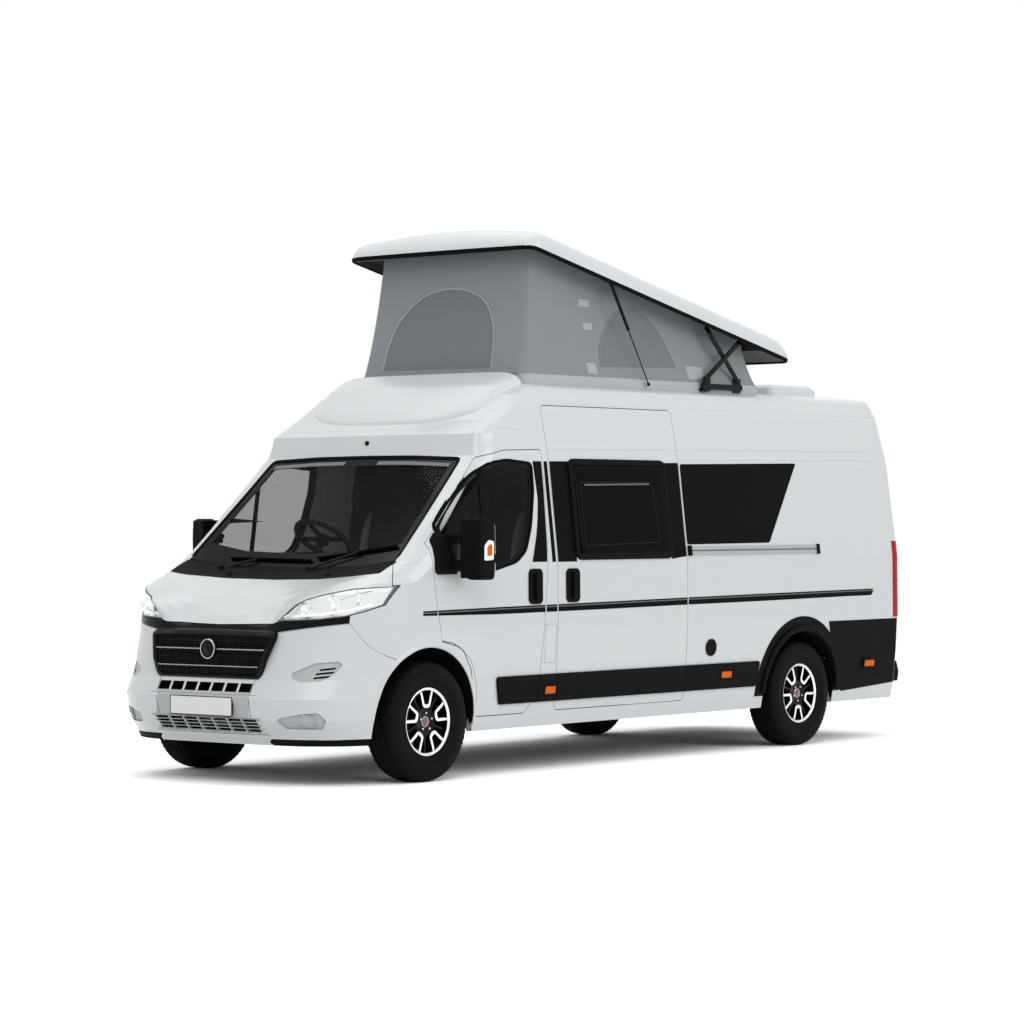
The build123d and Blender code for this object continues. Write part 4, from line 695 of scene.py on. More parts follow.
for side_name, side in SIDES:
    finish_where("front_door_" + side_name, RUBBER,
                 lambda m, n: inside(reveal, m[1], m[2]) & (n[0] * side < 0.8))
for side_name, side in SIDES:
    door, place = "front_door_" + side_name, on_side(side)
    bead("door_window_seal_" + side_name, opening,
         [(3, 0), (5, 1.5), (3, 3), (-14, 2.5), (-16, -4), (-16, -9)], place, RUBBER, door, spacing=40)
    bead("door_window_frit_" + side_name, opening, [(-14, -9), (-14, -4.5), (-34, -4.5), (-34, -9)], place,
         FRIT, door, spacing=40)
    ribbon("door_window_bar_" + side_name, [(-1712, 1296), (-1690, 1905)], [(-1676, 1296), (-1654, 1922)],
           flat_profile(-2, -9, 4), place, BLACK_PLASTIC, door, 40)
    bead("door_gasket_" + side_name,
         [(-2118, 855), (-2017, 841), (-1914, 789), (-1837, 676), (-1802, 542), (-1793, 376)],
         [(-2, -2), (-2, 1.2), (2, 1.2), (2, -2)], place, RUBBER, door, closed=False, spacing=40)
    bead("side_window_frame_" + side_name, SIDE_WINDOW_OUTER,
         [(6, 1), (8, 5), (4, 13), (-14, 17), (-30, 15), (-34, 8), (-34, 2)], place, BLACK_PLASTIC, "body",
         spacing=45)
    pane("side_window_pane_" + side_name, rounded(SIDE_WINDOW_INNER, 40),
         [(26, 14.5), (8, 13), (1, 9), (0, 3)], place, DARK_GLASS, "body", rings=6, spacing=45)
    bead("side_window_blind_" + side_name, rounded(SIDE_WINDOW_PANE, 16),
         [(4, 14), (4, 15.6), (-4, 15.6), (-4, 14)], place, GRAPHITE_FILM_AND_GROOVE_SHADE if side < 0 else GLOSS_BLACK, "body",
         spacing=45)
    ribbon("side_window_catch_" + side_name, [(-650, 1818), (50, 1828)], [(-650, 1828), (50, 1838)],
           flat_profile(16.5, 14, 3), place, GRAPHITE_FILM_AND_GROOVE_SHADE, "body", 60)
    bead("front_arch_lip_" + side_name, arc(FRONT_AXLE_Y, 459, -8, 172, 40),
         [(-6, -14), (-6, 3), (-2, 6), (8, 5.5), (22, 1), (22, -6)], place, WHITE_PAINT, "body",
         closed=False, spacing=30)
    bead("rear_arch_rim_" + side_name, arc(REAR_AXLE_Y, 492, 3, 177, 44),
         [(-50, 2), (-50, 17), (-44, 22), (-26, 24), (-16, 20), (-10, 16.5), (-10, 2)], place, BLACK_PLASTIC,
         "body", closed=False, spacing=30)

# Painted shade: the groove along the sliding door's rail is drawn as a strip of graphite grey.
ribbon("rail_groove_shade", [(470, 1384), (1972, 1384)], [(470, 1392), (1972, 1392)], flat_profile(12.8, 8, 3),
       on_side(1), GRAPHITE_FILM_AND_GROOVE_SHADE, "body", 60)

# ---------------------------------------------------------------- windscreen, cowl and wipers
WINDSCREEN = [(0, 1290), (500, 1302), (882, 1356), (805, 1985), (400, 2000)]
screen = np.array(WINDSCREEN + [(0, 2003)] + [(-x, z) for x, z in WINDSCREEN[:0:-1]], float)
screen_outline = rounded(screen, 34)
bead("windscreen_frit", screen_outline, [(-2, -12), (-2, -3.5), (-58, -3.5), (-58, -12)], on_nose, FRIT,
     "body", spacing=30)
seal_start = np.argmin(np.hypot(screen_outline[:, 0] - 882, screen_outline[:, 1] - 1370))
seal_line = np.roll(screen_outline, -seal_start, 0)
bead("windscreen_seal", seal_line[seal_line[:, 1] > 1365],
     [(7, -2), (8, 3), (2, 5), (-10, 3.5), (-13, -2), (-13, -8)], on_nose, RUBBER, "body", closed=False,
     spacing=30)
ribbon("windscreen_lower_frit", [(-872, 1352), (-500, 1306), (0, 1294), (500, 1306), (872, 1352)],
       [(-855, 1460), (-500, 1404), (0, 1386), (500, 1404), (855, 1460)], flat_profile(-3, -12, 6), on_nose,
       FRIT, "body", 30)
for side_name, side in SIDES:
    ribbon("sun_strip_" + side_name, [(side * 140, 1952), (side * 400, 1949), (side * 750, 1934)],
           [(side * 140, 1974), (side * 400, 1971), (side * 752, 1954)], flat_profile(-3.2, -11, 4), on_nose,
           MESH_FABRIC, "body", 40)

COWL_EDGE = np.array([(-890, 1336), (-700, 1316), (-400, 1296), (0, 1288), (400, 1296), (700, 1316),
                      (890, 1336)], float)
ribbon("cowl_panel", COWL_EDGE - (0, 62), COWL_EDGE + (0, 12),
       [(0, -10), (0.04, 6), (0.5, 10), (0.94, 9), (1, 3), (1, -10)], on_nose, BLACK_PLASTIC, "body", 40)
for number in range(14):
    x = -610 + number * 94
    z = np.interp(x, COWL_EDGE[:, 0], COWL_EDGE[:, 1]) - 30
    ribbon(f"cowl_louvre_{number}", [(x - 34, z - 4), (x + 34, z - 4)], [(x - 34, z + 5), (x + 34, z + 5)],
           [(0, 4), (0.0, 13), (0.6, 14), (1, 9), (1, 4)], on_nose, BLACK_PLASTIC, "body", 20)
WIPERS = [
    # name, pivot x, elbow (x, z), blade ends (x, z)
    ("driver", -560, (-330, 1352), (-560, 1360), (120, 1348)),
    ("passenger", 150, (500, 1398), (170, 1362), (800, 1440)),
]
BLADE_PROFILE = [(-9, -5), (9, -5), (6, 5), (1, 14), (-1, 14), (-6, 5)]
for name, pivot, elbow, inner, outer in WIPERS:
    arm = curve([(pivot, 1290), ((pivot + elbow[0]) / 2, (1300 + elbow[1]) / 2), elbow], 8)
    arm = on_nose(arm[:, 0], arm[:, 1], np.linspace(20, 24, len(arm)))
    rod("wiper_arm_" + name, arm, ring(8, 8, 0.6), (0, -1, 0), GLOSS_BLACK, "body")
    blade = laid(np.linspace(inner, outer, 24), 10, on_nose)
    rod("wiper_blade_" + name, blade, BLADE_PROFILE, (0, -1, 0.4), RUBBER, "body")
    turned("wiper_pivot_" + name, [(-24, 2), (14, 20), (20, 14), (22, 2)],
           (pivot, float(nose_y(pivot, 1290)) - 8, 1290), BLACK_PLASTIC, "body", "z", 20)
for side_name, side in SIDES:
    turned("screen_washer_" + side_name, [(-4, 1), (-4, 16), (4, 13), (10, 6), (11, 1)],
           (side * 420, float(nose_y(420, 1256)) - 2, 1262), BLACK_PLASTIC, "bonnet", "z", 16)
turned("brow_camera", [(-12, 1), (-12, 15), (4, 14), (8, 8), (8, 1)], (0, float(nose_y(0, 2092)) + 4, 2092),
       GLOSS_BLACK, "body", "y", 20)

# ---------------------------------------------------------------- lamps
LAMP = [(478, 990), (547, 1040), (600, 1088), (660, 1126), (743, 1151), (872, 1187), (1000, 1204),
        (975, 1084), (930, 1049), (865, 1019), (740, 1000)]
LAMP_BOWLS = [
    # x, z, radius, height of its middle behind the surface
    (800, 1090, 52, 22), (664, 1056, 38, 20), (900, 1120, 34, 20),
]
for side_name, side in SIDES:
    outline = np.array(LAMP, float) * (side, 1)
    outline = rounded(outline, 8, 4)
    bowl = pane("headlamp_bowl_" + side_name, outline, [(22, -40), (8, -16), (3, -6), (1.5, -4), (1.5, -43)],
                on_nose, REFLECTOR, "body", rings=8, spacing=25)
    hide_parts("headlamps")
    bead("headlamp_bezel_" + side_name, outline, [(-1, -14), (-1, -3), (-7, -3), (-9, -14)], on_nose,
         GLOSS_BLACK, "body", spacing=25)
    pane("headlamp_lens_" + side_name, outline, [(10, 0.8), (1.5, 0.3), (1, -2.2), (10, -2.0)], on_nose,
         CLEAR_LENS, "body", rings=10, spacing=25)
    for number, (x, z, radius, depth) in enumerate(LAMP_BOWLS):
        centre = (side * x, float(nose_y(x, z)) + depth, z)
        turned(f"headlamp_cup_{number}_{side_name}",
               [(12, 0.5), (8, radius * 0.5), (-6, radius * 0.9), (-9, radius), (-7, radius + 3),
                (10, radius * 0.6), (16, 0.5)], centre, REFLECTOR, "body", "y", 36)
        # Painted light: the bulbs glow faintly white, though the lamps are off.
        turned(f"headlamp_bulb_{number}_{side_name}",
               [(10, 0.5), (8, radius * 0.3), (-2, radius * 0.34), (-7, radius * 0.2), (-8, 0.5)], centre,
               BULB_GLASS_PAINTED_GLOW, "body", "y", 24)
    slip = np.array([(520, 1012), (640, 1018), (760, 1028), (880, 1052), (940, 1078)], float) * (side, 1)
    # Painted light: the light bar glows faintly white, though the lamps are off.
    ribbon("headlamp_light_bar_" + side_name, slip, slip + (0, 15), flat_profile(-6, -24, 3), on_nose,
           BULB_GLASS_PAINTED_GLOW, "body", 24)
    circle = ring(35, 40) + (side * 748, 402)
    pane("fog_bowl_" + side_name, circle, [(14, -16), (3, -8), (1, -6), (1, -17.5)], on_nose, GREY_PLASTIC,
         "body", 5, 12)
    pane("fog_lens_" + side_name, circle, [(9, -3), (2, -4.5), (1, -6), (9, -5.5)], on_nose, CLEAR_LENS,
         "body", 5, 12)
    bead("fog_rim_" + side_name, circle, [(3, -17), (4, -3), (0, -2), (-3, -5), (-2, -17)], on_nose,
         GREY_PLASTIC, "body", spacing=12)
finish_where("tail_lamps", CLEAR_LENS, lambda m, n: (m[2] > 1046) & (m[2] < 1120))
TAIL_SECTIONS = [
    # name, height
    ("upper", 1300), ("middle", 1150), ("lower", 1020),
]
for side_name, side in SIDES:
    for name, z in TAIL_SECTIONS:
        ribbon(f"tail_lamp_rib_{name}_{side_name}", [(2984, z), (3040, z)], [(2984, z + 5), (3040, z + 5)],
               flat_profile(7.5, 2, 3), on_side(side), RED_LENS, "body", 20)

# ---------------------------------------------------------------- grille and bumper
POCKET_DEPTH = 19       # the bumper's openings lie deeper than this behind its surface
STEP_DEPTH = 9          # and the pockets at its sides deeper than this


def depth_behind(middle):
    """How far points lie behind the front surface."""
    return middle[1] - nose_y(middle[0], middle[2])


def bumper_panel(half_width, low, high):
    """Test for faces on the middle of the bumper's surface, between two heights."""
    def test(m, n):
        return (np.abs(m[0]) < half_width) & (m[2] > low) & (m[2] < high) & (depth_behind(m) < POCKET_DEPTH)
    return test


def bumper_pocket(m, n):
    """Test for faces in the shallow pockets at the bumper's sides, which are greyed as painted shade."""
    depth = depth_behind(m)
    return (np.abs(m[0]) > 540) & (depth > STEP_DEPTH) & (depth < POCKET_DEPTH)


finish_where("front_bumper", BLACK_PLASTIC,
             lambda m, n: ((m[2] < 286) & (np.abs(m[0]) > 470)) | (depth_behind(m) > POCKET_DEPTH))
finish_where("front_bumper", SILVER_ABS_AND_CREASE_SHADE, bumper_panel(440, 316, 410))
finish_where("front_bumper", BUMPER_GREY_AND_POCKET_SHADE, bumper_panel(392, 410, 556))
# Painted shade: the pockets at the bumper's sides take the duller grey, as if shaded in their hollows.
finish_where("front_bumper", BUMPER_GREY_AND_POCKET_SHADE, bumper_pocket)
GRILLE_PROUD = 34.0
GRILLE_OUTER = [(-437, 647), (437, 647), (524, 902), (500, 932), (0, 940), (-500, 932), (-524, 902)]
GRILLE_INNER = [(-408, 664), (408, 664), (488, 896), (0, 902), (-488, 896)]


def on_grille(x, z, lift):
    """Front surface of the grille: the nose, brought forward towards the grille's middle height."""
    forward = GRILLE_PROUD * np.clip((z - 640) / 110, 0, 1) * np.clip((960 - z) / 60, 0, 1)
    return on_nose(x, z, lift + forward)


pane("grille_back", rounded(GRILLE_OUTER, 30), [(8, -6), (2, -7), (0, -9), (0, -16)], on_grille,
     BLACK_PLASTIC, "body", rings=8, spacing=24)


def even(outline):
    """Outline resampled to a row of points, evenly along its length from its first point."""
    closed = np.concatenate([outline, outline[:1]])
    length = np.concatenate([[0], np.cumsum(np.linalg.norm(np.diff(closed, axis=0), axis=1))])
    at = np.linspace(0, length[-1], 240, endpoint=False)
    return np.stack([np.interp(at, length, closed[:, k]) for k in (0, 1)], -1)


outer, inner = even(rounded(GRILLE_OUTER, 30)), even(rounded(GRILLE_INNER, 20))
start = np.argmin(np.linalg.norm(inner - outer[0] * (0.93, 1.0), axis=1))
inner = np.roll(inner, -start, 0)
levels = [(0.0, -20), (0.0, 3), (0.18, 6), (0.8, 5), (1.0, 0), (1.0, -8)]
rings = [laid(outer + (inner - outer) * share, lift, on_grille) for share, lift in levels]
loop_piece("grille_surround", np.stack(rings, 1), GLOSS_BLACK, "body", closed=True)
BARS = [
    # name, middle height, half height, lift, finish
    ("upper", 818, 5, 3, ALUMINIUM), ("lower", 716, 5, 3, ALUMINIUM), ("head", 866, 3, -1, BLACK_ALLOY),
    ("middle", 767, 3, -1, BLACK_ALLOY), ("foot", 684, 3, -1, BLACK_ALLOY),
    ("second", 842, 2, -2, BLACK_ALLOY), ("third", 742, 2, -2, BLACK_ALLOY),
    ("fourth", 793, 2, -2, BLACK_ALLOY),
]
for name, z, half_height, lift, finish in BARS:
    half = np.interp(z, [664, 896], [404, 484])
    x = np.linspace(-half, half, 30)
    ribbon("grille_bar_" + name, np.stack([x, 0 * x + z - half_height], -1),
           np.stack([x, 0 * x + z + half_height], -1),
           [(0, -9), (0, lift - 2), (0.4, lift + 3), (0.8, lift + 1), (1, lift - 3), (1, -9)], on_grille,
           finish, "body", 24)
for number in range(11):
    x = (number - 5) * 84.0
    slant = np.sign(x) * 14 if abs(x) > 300 else 0
    ribbon(f"grille_rib_{number}", [(x - 3 - slant, 668), (x - 3 + slant, 892)],
           [(x + 3 - slant, 668), (x + 3 + slant, 892)], flat_profile(-1, -10, 2), on_grille, BLACK_ALLOY,
           "body", 40)
boss_y = float(nose_y(0, 818)) - GRILLE_PROUD - 6
turned("grille_boss",
       [(8, 1), (8, 60), (-3, 60), (-8, 56), (-8, 50), (-3, 45), (-7, 32), (-11, 16), (-12, 1)],
       (0, boss_y, 818), BLACK_ALLOY, "body", "y", 48)
turned("grille_boss_ring", [(-2, 62), (-8, 60), (-9.5, 56), (-6, 52), (0, 55)], (0, boss_y, 818),
       BRIGHT_STEEL, "body", "y", 48)
WHEEL_HOUSES = [
    # node, axle's y, radius
    ("front_wing_", FRONT_AXLE_Y, 453.5), ("side_panel_", REAR_AXLE_Y, 441.5),
]
for side_name, side in SIDES:
    for node, axle_y, reach in WHEEL_HOUSES:
        finish_where(node + side_name, BLACK_PLASTIC,
                     lambda m, n: np.hypot(m[1] - axle_y, m[2] - AXLE_Z) < reach)
LATTICE_LIP = [
    # name, bottom, top
    ("lip_lower", 306, 320), ("lip_upper", 404, 412),
]
for name, low, high in LATTICE_LIP:
    ribbon("lower_grille_" + name, [(-470, low), (0, low), (470, low)],
           [(-452, high), (0, high), (452, high)], [(0, -6), (0, 3), (0.5, 7), (1, 3), (1, -6)], on_nose,
           SILVER_ABS_AND_CREASE_SHADE, "body", 30)
for side_name, side in SIDES:
    ribbon("bumper_seam_" + side_name, [(side * 386, 414), (side * 398, 640)],
           [(side * 389, 414), (side * 401, 640)], flat_profile(0.9, -4, 2), on_nose, RUBBER, "body", 30)
bead("plate_rim", box_outline(-260, 260, 421, 532, 8), [(2.5, -9), (2.5, 1.2), (-2, 1.2), (-2, -9)],
     on_plane(1, FRONT_Y, -1), BLACK_PLASTIC, "body", spacing=60)
# Painted shade: a thin grey line along the bumper's crease, where the surface folds.
ribbon("bumper_crease_shade", [(-452, 548), (0, 548), (452, 548)], [(-452, 552), (0, 552), (452, 552)],
       flat_profile(1.2, -4, 2), on_nose, SILVER_ABS_AND_CREASE_SHADE, "body", 30)

# ---------------------------------------------------------------- pop-top: lid, tent, cab cap
LID_TURN = np.radians(-12.15)
LID_FOOT = 2555.0
POLE = (2773.0, 2585.0)     # y and z of the point about which the lid comes up
LID_CROWN = 172.0
LID_FRONT, LID_BACK = -1035.0, 1970.0


def raised(x, y, z):
    """Place (x, y, z above the lid's foot) on the shut lid, turned up about its pole by 12.15 degrees."""
    dy, dz = y - POLE[0], z + LID_FOOT - POLE[1]
    return np.stack([x + 0 * y, POLE[0] + dy * np.cos(LID_TURN) - dz * np.sin(LID_TURN),
                     POLE[1] + dy * np.sin(LID_TURN) + dz * np.cos(LID_TURN)], -1)


def lowered(middle):
    """Place on the raised lid, as (x, y, z above its foot) on the shut lid."""
    dy, dz = middle[1] - POLE[0], middle[2] - POLE[1]
    return middle[0], POLE[0] + dy * np.cos(LID_TURN) + dz * np.sin(LID_TURN), \
        POLE[1] - dy * np.sin(LID_TURN) + dz * np.cos(LID_TURN) - LID_FOOT


def on_lid_front(x, z, lift):
    """Sloping front end of the lid, from its foot upward."""
    y = np.interp(z, [0, 40, 115, 212], [-1035, -1013, -949, -735])
    return raised(x, y - lift * 0.8, z + lift * 0.5)


def lining(middle, normal):
    """The hollow under the lid and the foot of its walls."""
    x, y, z = lowered(middle)
    down = -normal[1] * np.sin(LID_TURN) + normal[2] * np.cos(LID_TURN)
    within = (np.abs(x) < 789) & (y > -980) & (y < 1660) & (z > 0.5) & (z < 140)
    inward = within & (normal[0] * np.sign(x) < 0.05)
    return (down < -0.35) | (inward & (down < 0.5))


finish_where("pop_top_roof", LID_LINING, lining)
finish_where("pop_top_frame", GLOSS_BLACK, lambda m, n: (np.abs(m[0]) > 729) & (m[1] > 900))
bead("lid_edge_rubber", box_outline(-798, 798, LID_FRONT, LID_BACK, 70),
     [(-12, 2), (-12, -9), (-4, -12), (3, -8), (4, 4), (4, 14), (-1, 14)], raised, RUBBER, "pop_top_roof",
     spacing=80)
LID_STATIONS = [
    # y, share of the section's height
    (-1038, 0.05), (-1037, 0.12), (-1034, 0.24), (-1026, 0.42), (-1012, 0.60), (-992, 0.78), (-968, 0.92),
    (-940, 1.0), (-880, 1.03), (-780, 1.03), (-600, 1.02), (-200, 1.02), (300, 1.02), (800, 1.02),
    (1300, 1.02), (1640, 1.02), (1760, 1.01), (1824, 0.99), (1860, 0.86), (1900, 0.66), (1940, 0.42),
    (1962, 0.24), (1972, 0.1), (1974, 0.05),
]
LID_EDGE_LINE = [(802, 14), (799, 46), (794, 76), (786, 98), (774, 112), (757, 120)]     # x, z up the side
LID_CORNER = 74.0
LID_RIDGES = (716, 640)


def lid_section(inset):
    """Half section of the lid's skin from foot to middle: side, rounded shoulder, ridges and flat arch."""
    across = np.linspace(748, 0, 60)
    ridges = sum(7 * np.exp(-((across - place) / 12) ** 2) for place in LID_RIDGES)
    arch = np.stack([across, LID_CROWN + 4 - 55 * (across / 762) ** 2 + ridges], -1)
    line = np.concatenate([np.array(LID_EDGE_LINE, float), arch])
    return line - (inset, 0) * (line[:, :1] > 700) - (0, inset) * (line[:, 1:] > 90)


def lid_ring(y, share, inset):
    """One station of the skin: the section lowered to a share of its height, narrowed at the corners."""
    line = lid_section(inset)
    line = np.concatenate([line, line[-2::-1] * (-1, 1)])
    to_end = np.clip(min(y + 1040, 1976 - y), 0, LID_CORNER)
    narrow = LID_CORNER - np.sqrt(LID_CORNER ** 2 - (LID_CORNER - to_end) ** 2)
    x = line[:, 0] * (1 - narrow / 800)
    return raised(x, np.full(len(x), float(y)), 10 + (line[:, 1] - 10) * share)


LID_THICK = 5.0
rings = []
for y, share in LID_STATIONS:
    rings.append(np.concatenate([lid_ring(y, share, 0.0), lid_ring(y, share, LID_THICK)[::-1]]))
loop_piece("lid_skin", rings, GELCOAT, "pop_top_roof")
x = np.linspace(-690, 690, 40)
shade = np.stack([x, 4 + 0 * x], -1)
ribbon("lid_front_shadow_line", shade, shade + np.stack([0 * x, 2 + 20 * (1 - (x / 690) ** 2)], -1),
       [(0, -4), (0, 5), (0.5, 8), (1, 7), (1, -4)], on_lid_front, RUBBER, "pop_top_roof", 30)

TENT_FOOT_Z = 2545.5
TENT_FOOT = (-925.0, 1690.0)
TENT_HEAD = (-884.0, 1560.0, 85.0)
TENT_HALF = 700.0
TENT_TAPER = 0.917       # width of its head by that of its foot
TENT_THICK = 3.0


def tent_bulge(place, share):
    """How far the canvas stands out at a place along a wall and a share of its height.

    It is drawn in between frame and lid, ripples softly, puckers at the head and flares at its foot.
    """
    sag = np.sin(np.pi * share)
    ripple = np.sin(place / 190) + 0.7 * np.sin(place / 83 + 1.3)
    return sag * (3.2 * ripple - 12) + 2.2 * share ** 5 * np.sin(place / 26) + 26 * (1 - share) ** 5


def tent_head(x, y_foot):
    """Point under the lid to which the canvas runs from a place on the frame."""
    run = (y_foot - TENT_FOOT[0]) / (TENT_FOOT[1] - TENT_FOOT[0])
    return raised(x * TENT_TAPER, TENT_HEAD[0] + run * (TENT_HEAD[1] - TENT_HEAD[0]), TENT_HEAD[2])


def tent_share(z, head):
    """Share of the canvas's height at a level under the given points of its head."""
    return (z - TENT_FOOT_Z) / (head[:, 2] - TENT_FOOT_Z)


def tent_wall(outline, normal, share, lift):
    """Canvas over an outline of its foot: straight up to the lid, pushed out by its bulge and a lift."""
    foot = np.concatenate([outline, np.full((len(outline), 1), TENT_FOOT_Z)], 1)
    line = foot + (tent_head(*outline.T) - foot) * share[:, None]
    along_x, along_y = tent_bulge(line[..., 1], share), tent_bulge(line[..., 0], share)
    push = np.stack([normal[:, 0] * (np.abs(normal[:, 0]) * along_x + lift),
                     normal[:, 1] * (np.abs(normal[:, 1]) * along_y + lift), 0 * along_x], -1)
    return line + push


def on_tent_side(side):
    """Places (y, z, lift) on a side wall of the tent."""
    def place(y, z, lift):
        y_foot = np.asarray(y, float)
        for _ in range(4):
            head = tent_head(0 * y_foot, y_foot)
            share = tent_share(z, head)
            y_foot = y_foot + y - (y_foot + (head[:, 1] - y_foot) * share)
        outline = np.stack([np.full_like(y_foot, side * TENT_HALF), y_foot], -1)
        return tent_wall(outline, np.tile((side, 0.0), (len(y_foot), 1)), share, lift)
    return place


def on_tent_front(x, z, lift):
    """Places (x, z, lift) on the front wall of the tent."""
    outline = np.stack([x, np.full_like(x, TENT_FOOT[0])], -1)
    share = tent_share(z, tent_head(*outline.T))
    return tent_wall(outline, np.tile((0.0, -1.0), (len(x), 1)), share, lift)


foot_line = dense(box_outline(-TENT_HALF, TENT_HALF, *TENT_FOOT, 70, 7), 18)
foot_normal = shifted(foot_line, 1.0) - foot_line
heights = np.linspace(0, 1, 34)
levels = [(share, 0.0) for share in heights] + [(share, -TENT_THICK) for share in heights[::-1]]
walls = [tent_wall(foot_line, foot_normal, np.full(len(foot_line), share), lift) for share, lift in levels]
tent = loop_piece("tent_canvas", np.stack(walls, 1), TENT_CANVAS, "body", closed=True)
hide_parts("tent")
tent_pieces = [tent]
FRONT_ARCH = [(-516, 2599), (-505, 2760), (-440, 2930), (-275, 3076), (-60, 3128), (160, 3112), (322, 3030),
              (405, 2895), (432, 2740), (436, 2588)]
SIDE_ARCH = [(-119, 2616), (-100, 2740), (-20, 2880), (110, 2990), (278, 3033), (440, 2985), (580, 2880),
             (690, 2740), (736, 2638)]
TENT_OPENINGS = [("front", FRONT_ARCH, on_tent_front), ("left", SIDE_ARCH, on_tent_side(1)),
                 ("right", SIDE_ARCH, on_tent_side(-1))]
for name, arch, place in TENT_OPENINGS:
    line, tape = curve(arch, 6), PALE_TAPE if name == "front" else TENT_CANVAS
    tent_pieces.append(pane("tent_window_" + name, line, [(3, 1.6), (0, 0.8), (0, -1.5)], place, MESH_FABRIC,
                            "body", 8, 24))
    tent_pieces.append(bead("tent_zip_" + name, line, [(0, 0), (4.5, 2), (3.5, 6), (-3.5, 6), (-4.5, 2)],
                            place, tape, "body", closed=False, spacing=20))
PATCHES = [
    # front y, back y, bottom, top
    (-288, -172, 3014, 3062), (-252, -154, 2862, 2906), (-271, -173, 2563, 2639), (864, 1053, 2567, 2657),
]
for number, limits in enumerate(PATCHES):
    tent_pieces.append(pane(f"tent_patch_{number}", box_outline(*limits, 8), [(1, 1.8), (0, 1.0), (0, -1)],
                            on_tent_side(1), PALE_TAPE, "body", 3, 20))
PIPING_SHARES = np.linspace(0.01, 0.985, 24)
PIPING_INSET = 20       # how far the rounded corner lies inside the square one
DIAGONAL = 0.7071       # either part of a unit step out of a corner
TENT_ENDS = [
    # name, y of its foot, which way it faces
    ("front", TENT_FOOT[0], -1), ("back", TENT_FOOT[1], 1),
]
for side_name, side in SIDES:
    for end, foot, facing in TENT_ENDS:
        corner = (side * (TENT_HALF - PIPING_INSET), foot - facing * PIPING_INSET)
        outline, normal = np.tile(corner, (24, 1)), np.tile((side * DIAGONAL, facing * DIAGONAL), (24, 1))
        path = tent_wall(outline, normal, PIPING_SHARES, 1.5)
        tent_pieces.append(rod(f"tent_corner_piping_{end}_{side_name}", path, ring(3, 8), (side, 0.3, 0),
                               TENT_CANVAS, "body"))
for piece in tent_pieces:
    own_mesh(piece)


ARMS = [
    # body, foot (y, z), head (y, z), distance from the middle
    ("lift_arms_rear", (1404, 2570), (1035, 2925), 741.0),
    ("lift_arms_front", (1009, 2570), (1411, 2842), 752.0),
]
ARM_SHARES = np.linspace(-0.03, 1.03, 6)[:, None]       # a little past each pivot
for carrier, foot, head, x in ARMS:
    for side_name, side in SIDES:
        start, end = np.array((side * x, *foot)), np.array((side * x, *head))
        rod(f"{carrier}_cover_{side_name}", start + (end - start) * ARM_SHARES,
            box_outline(-5, 5, -19, 19, 4), (0, 0.6, 0.8), GLOSS_BLACK, carrier)
for side_name, side in SIDES:
    place = on_plane(0, side * 731, side)
    ribbon("lift_foot_bar_" + side_name, [(985, 2500), (1440, 2500)], [(985, 2541), (1440, 2541)],
           [(0, -2), (0, 26), (0.3, 30), (0.7, 30), (1, 26), (1, -2)], place, GLOSS_BLACK, "body", 60)
    ribbon("lift_foot_post_" + side_name, [(985, 2530), (985, 2588)], [(1022, 2530), (1022, 2588)],
           [(0, 20), (0, 34), (1, 34), (1, 20)], place, GLOSS_BLACK, "body", 30)


def roof_z(x, y):
    """Height of the body's top at (x, y): the lower of the roof's flat arch and the nose's profile."""
    x, y = np.broadcast_arrays(np.abs(np.asarray(x, float)), np.asarray(y, float))
    crown = 2524 - 62 * (x / 820) ** 2
    levels = np.linspace(1900, 2530, 64)
    z = reached(levels, nose_y(x.ravel()[None, :], levels[:, None]), y.ravel())
    return np.minimum(crown, z.reshape(x.shape))


CAP_FRONT, CAP_BACK = -1530.0, -1056.0
CAP_HALF = 706.0        # half width at its front
CAP_FLARE = 74.0        # how much wider it is on each side at its back
CAP_RISE = 66.0
u, v = np.meshgrid(np.sin(np.linspace(-np.pi / 2, np.pi / 2, 61)), np.linspace(0, 1, 36) ** 1.4)
cap_y = CAP_FRONT + 130 * np.abs(u) ** 4 * (1 - v) + (CAP_BACK - CAP_FRONT) * v
cap_x = u * (CAP_HALF + CAP_FLARE * v)
rise = CAP_RISE * np.sin(np.pi / 2 * np.minimum(v * 1.5, 1)) ** 0.42
rise = rise * np.sqrt(np.maximum(1 - np.abs(u) ** 14, 0))
skin = roof_z(cap_x, cap_y)
top = np.stack([cap_x, cap_y, skin + rise + 1], -1)
under = np.stack([cap_x, cap_y, skin - 12], -1)
cap = loop_piece("cab_cap_shell", np.concatenate([top, under[:, ::-1]], 1), GELCOAT, "body")
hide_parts("cab_cap")

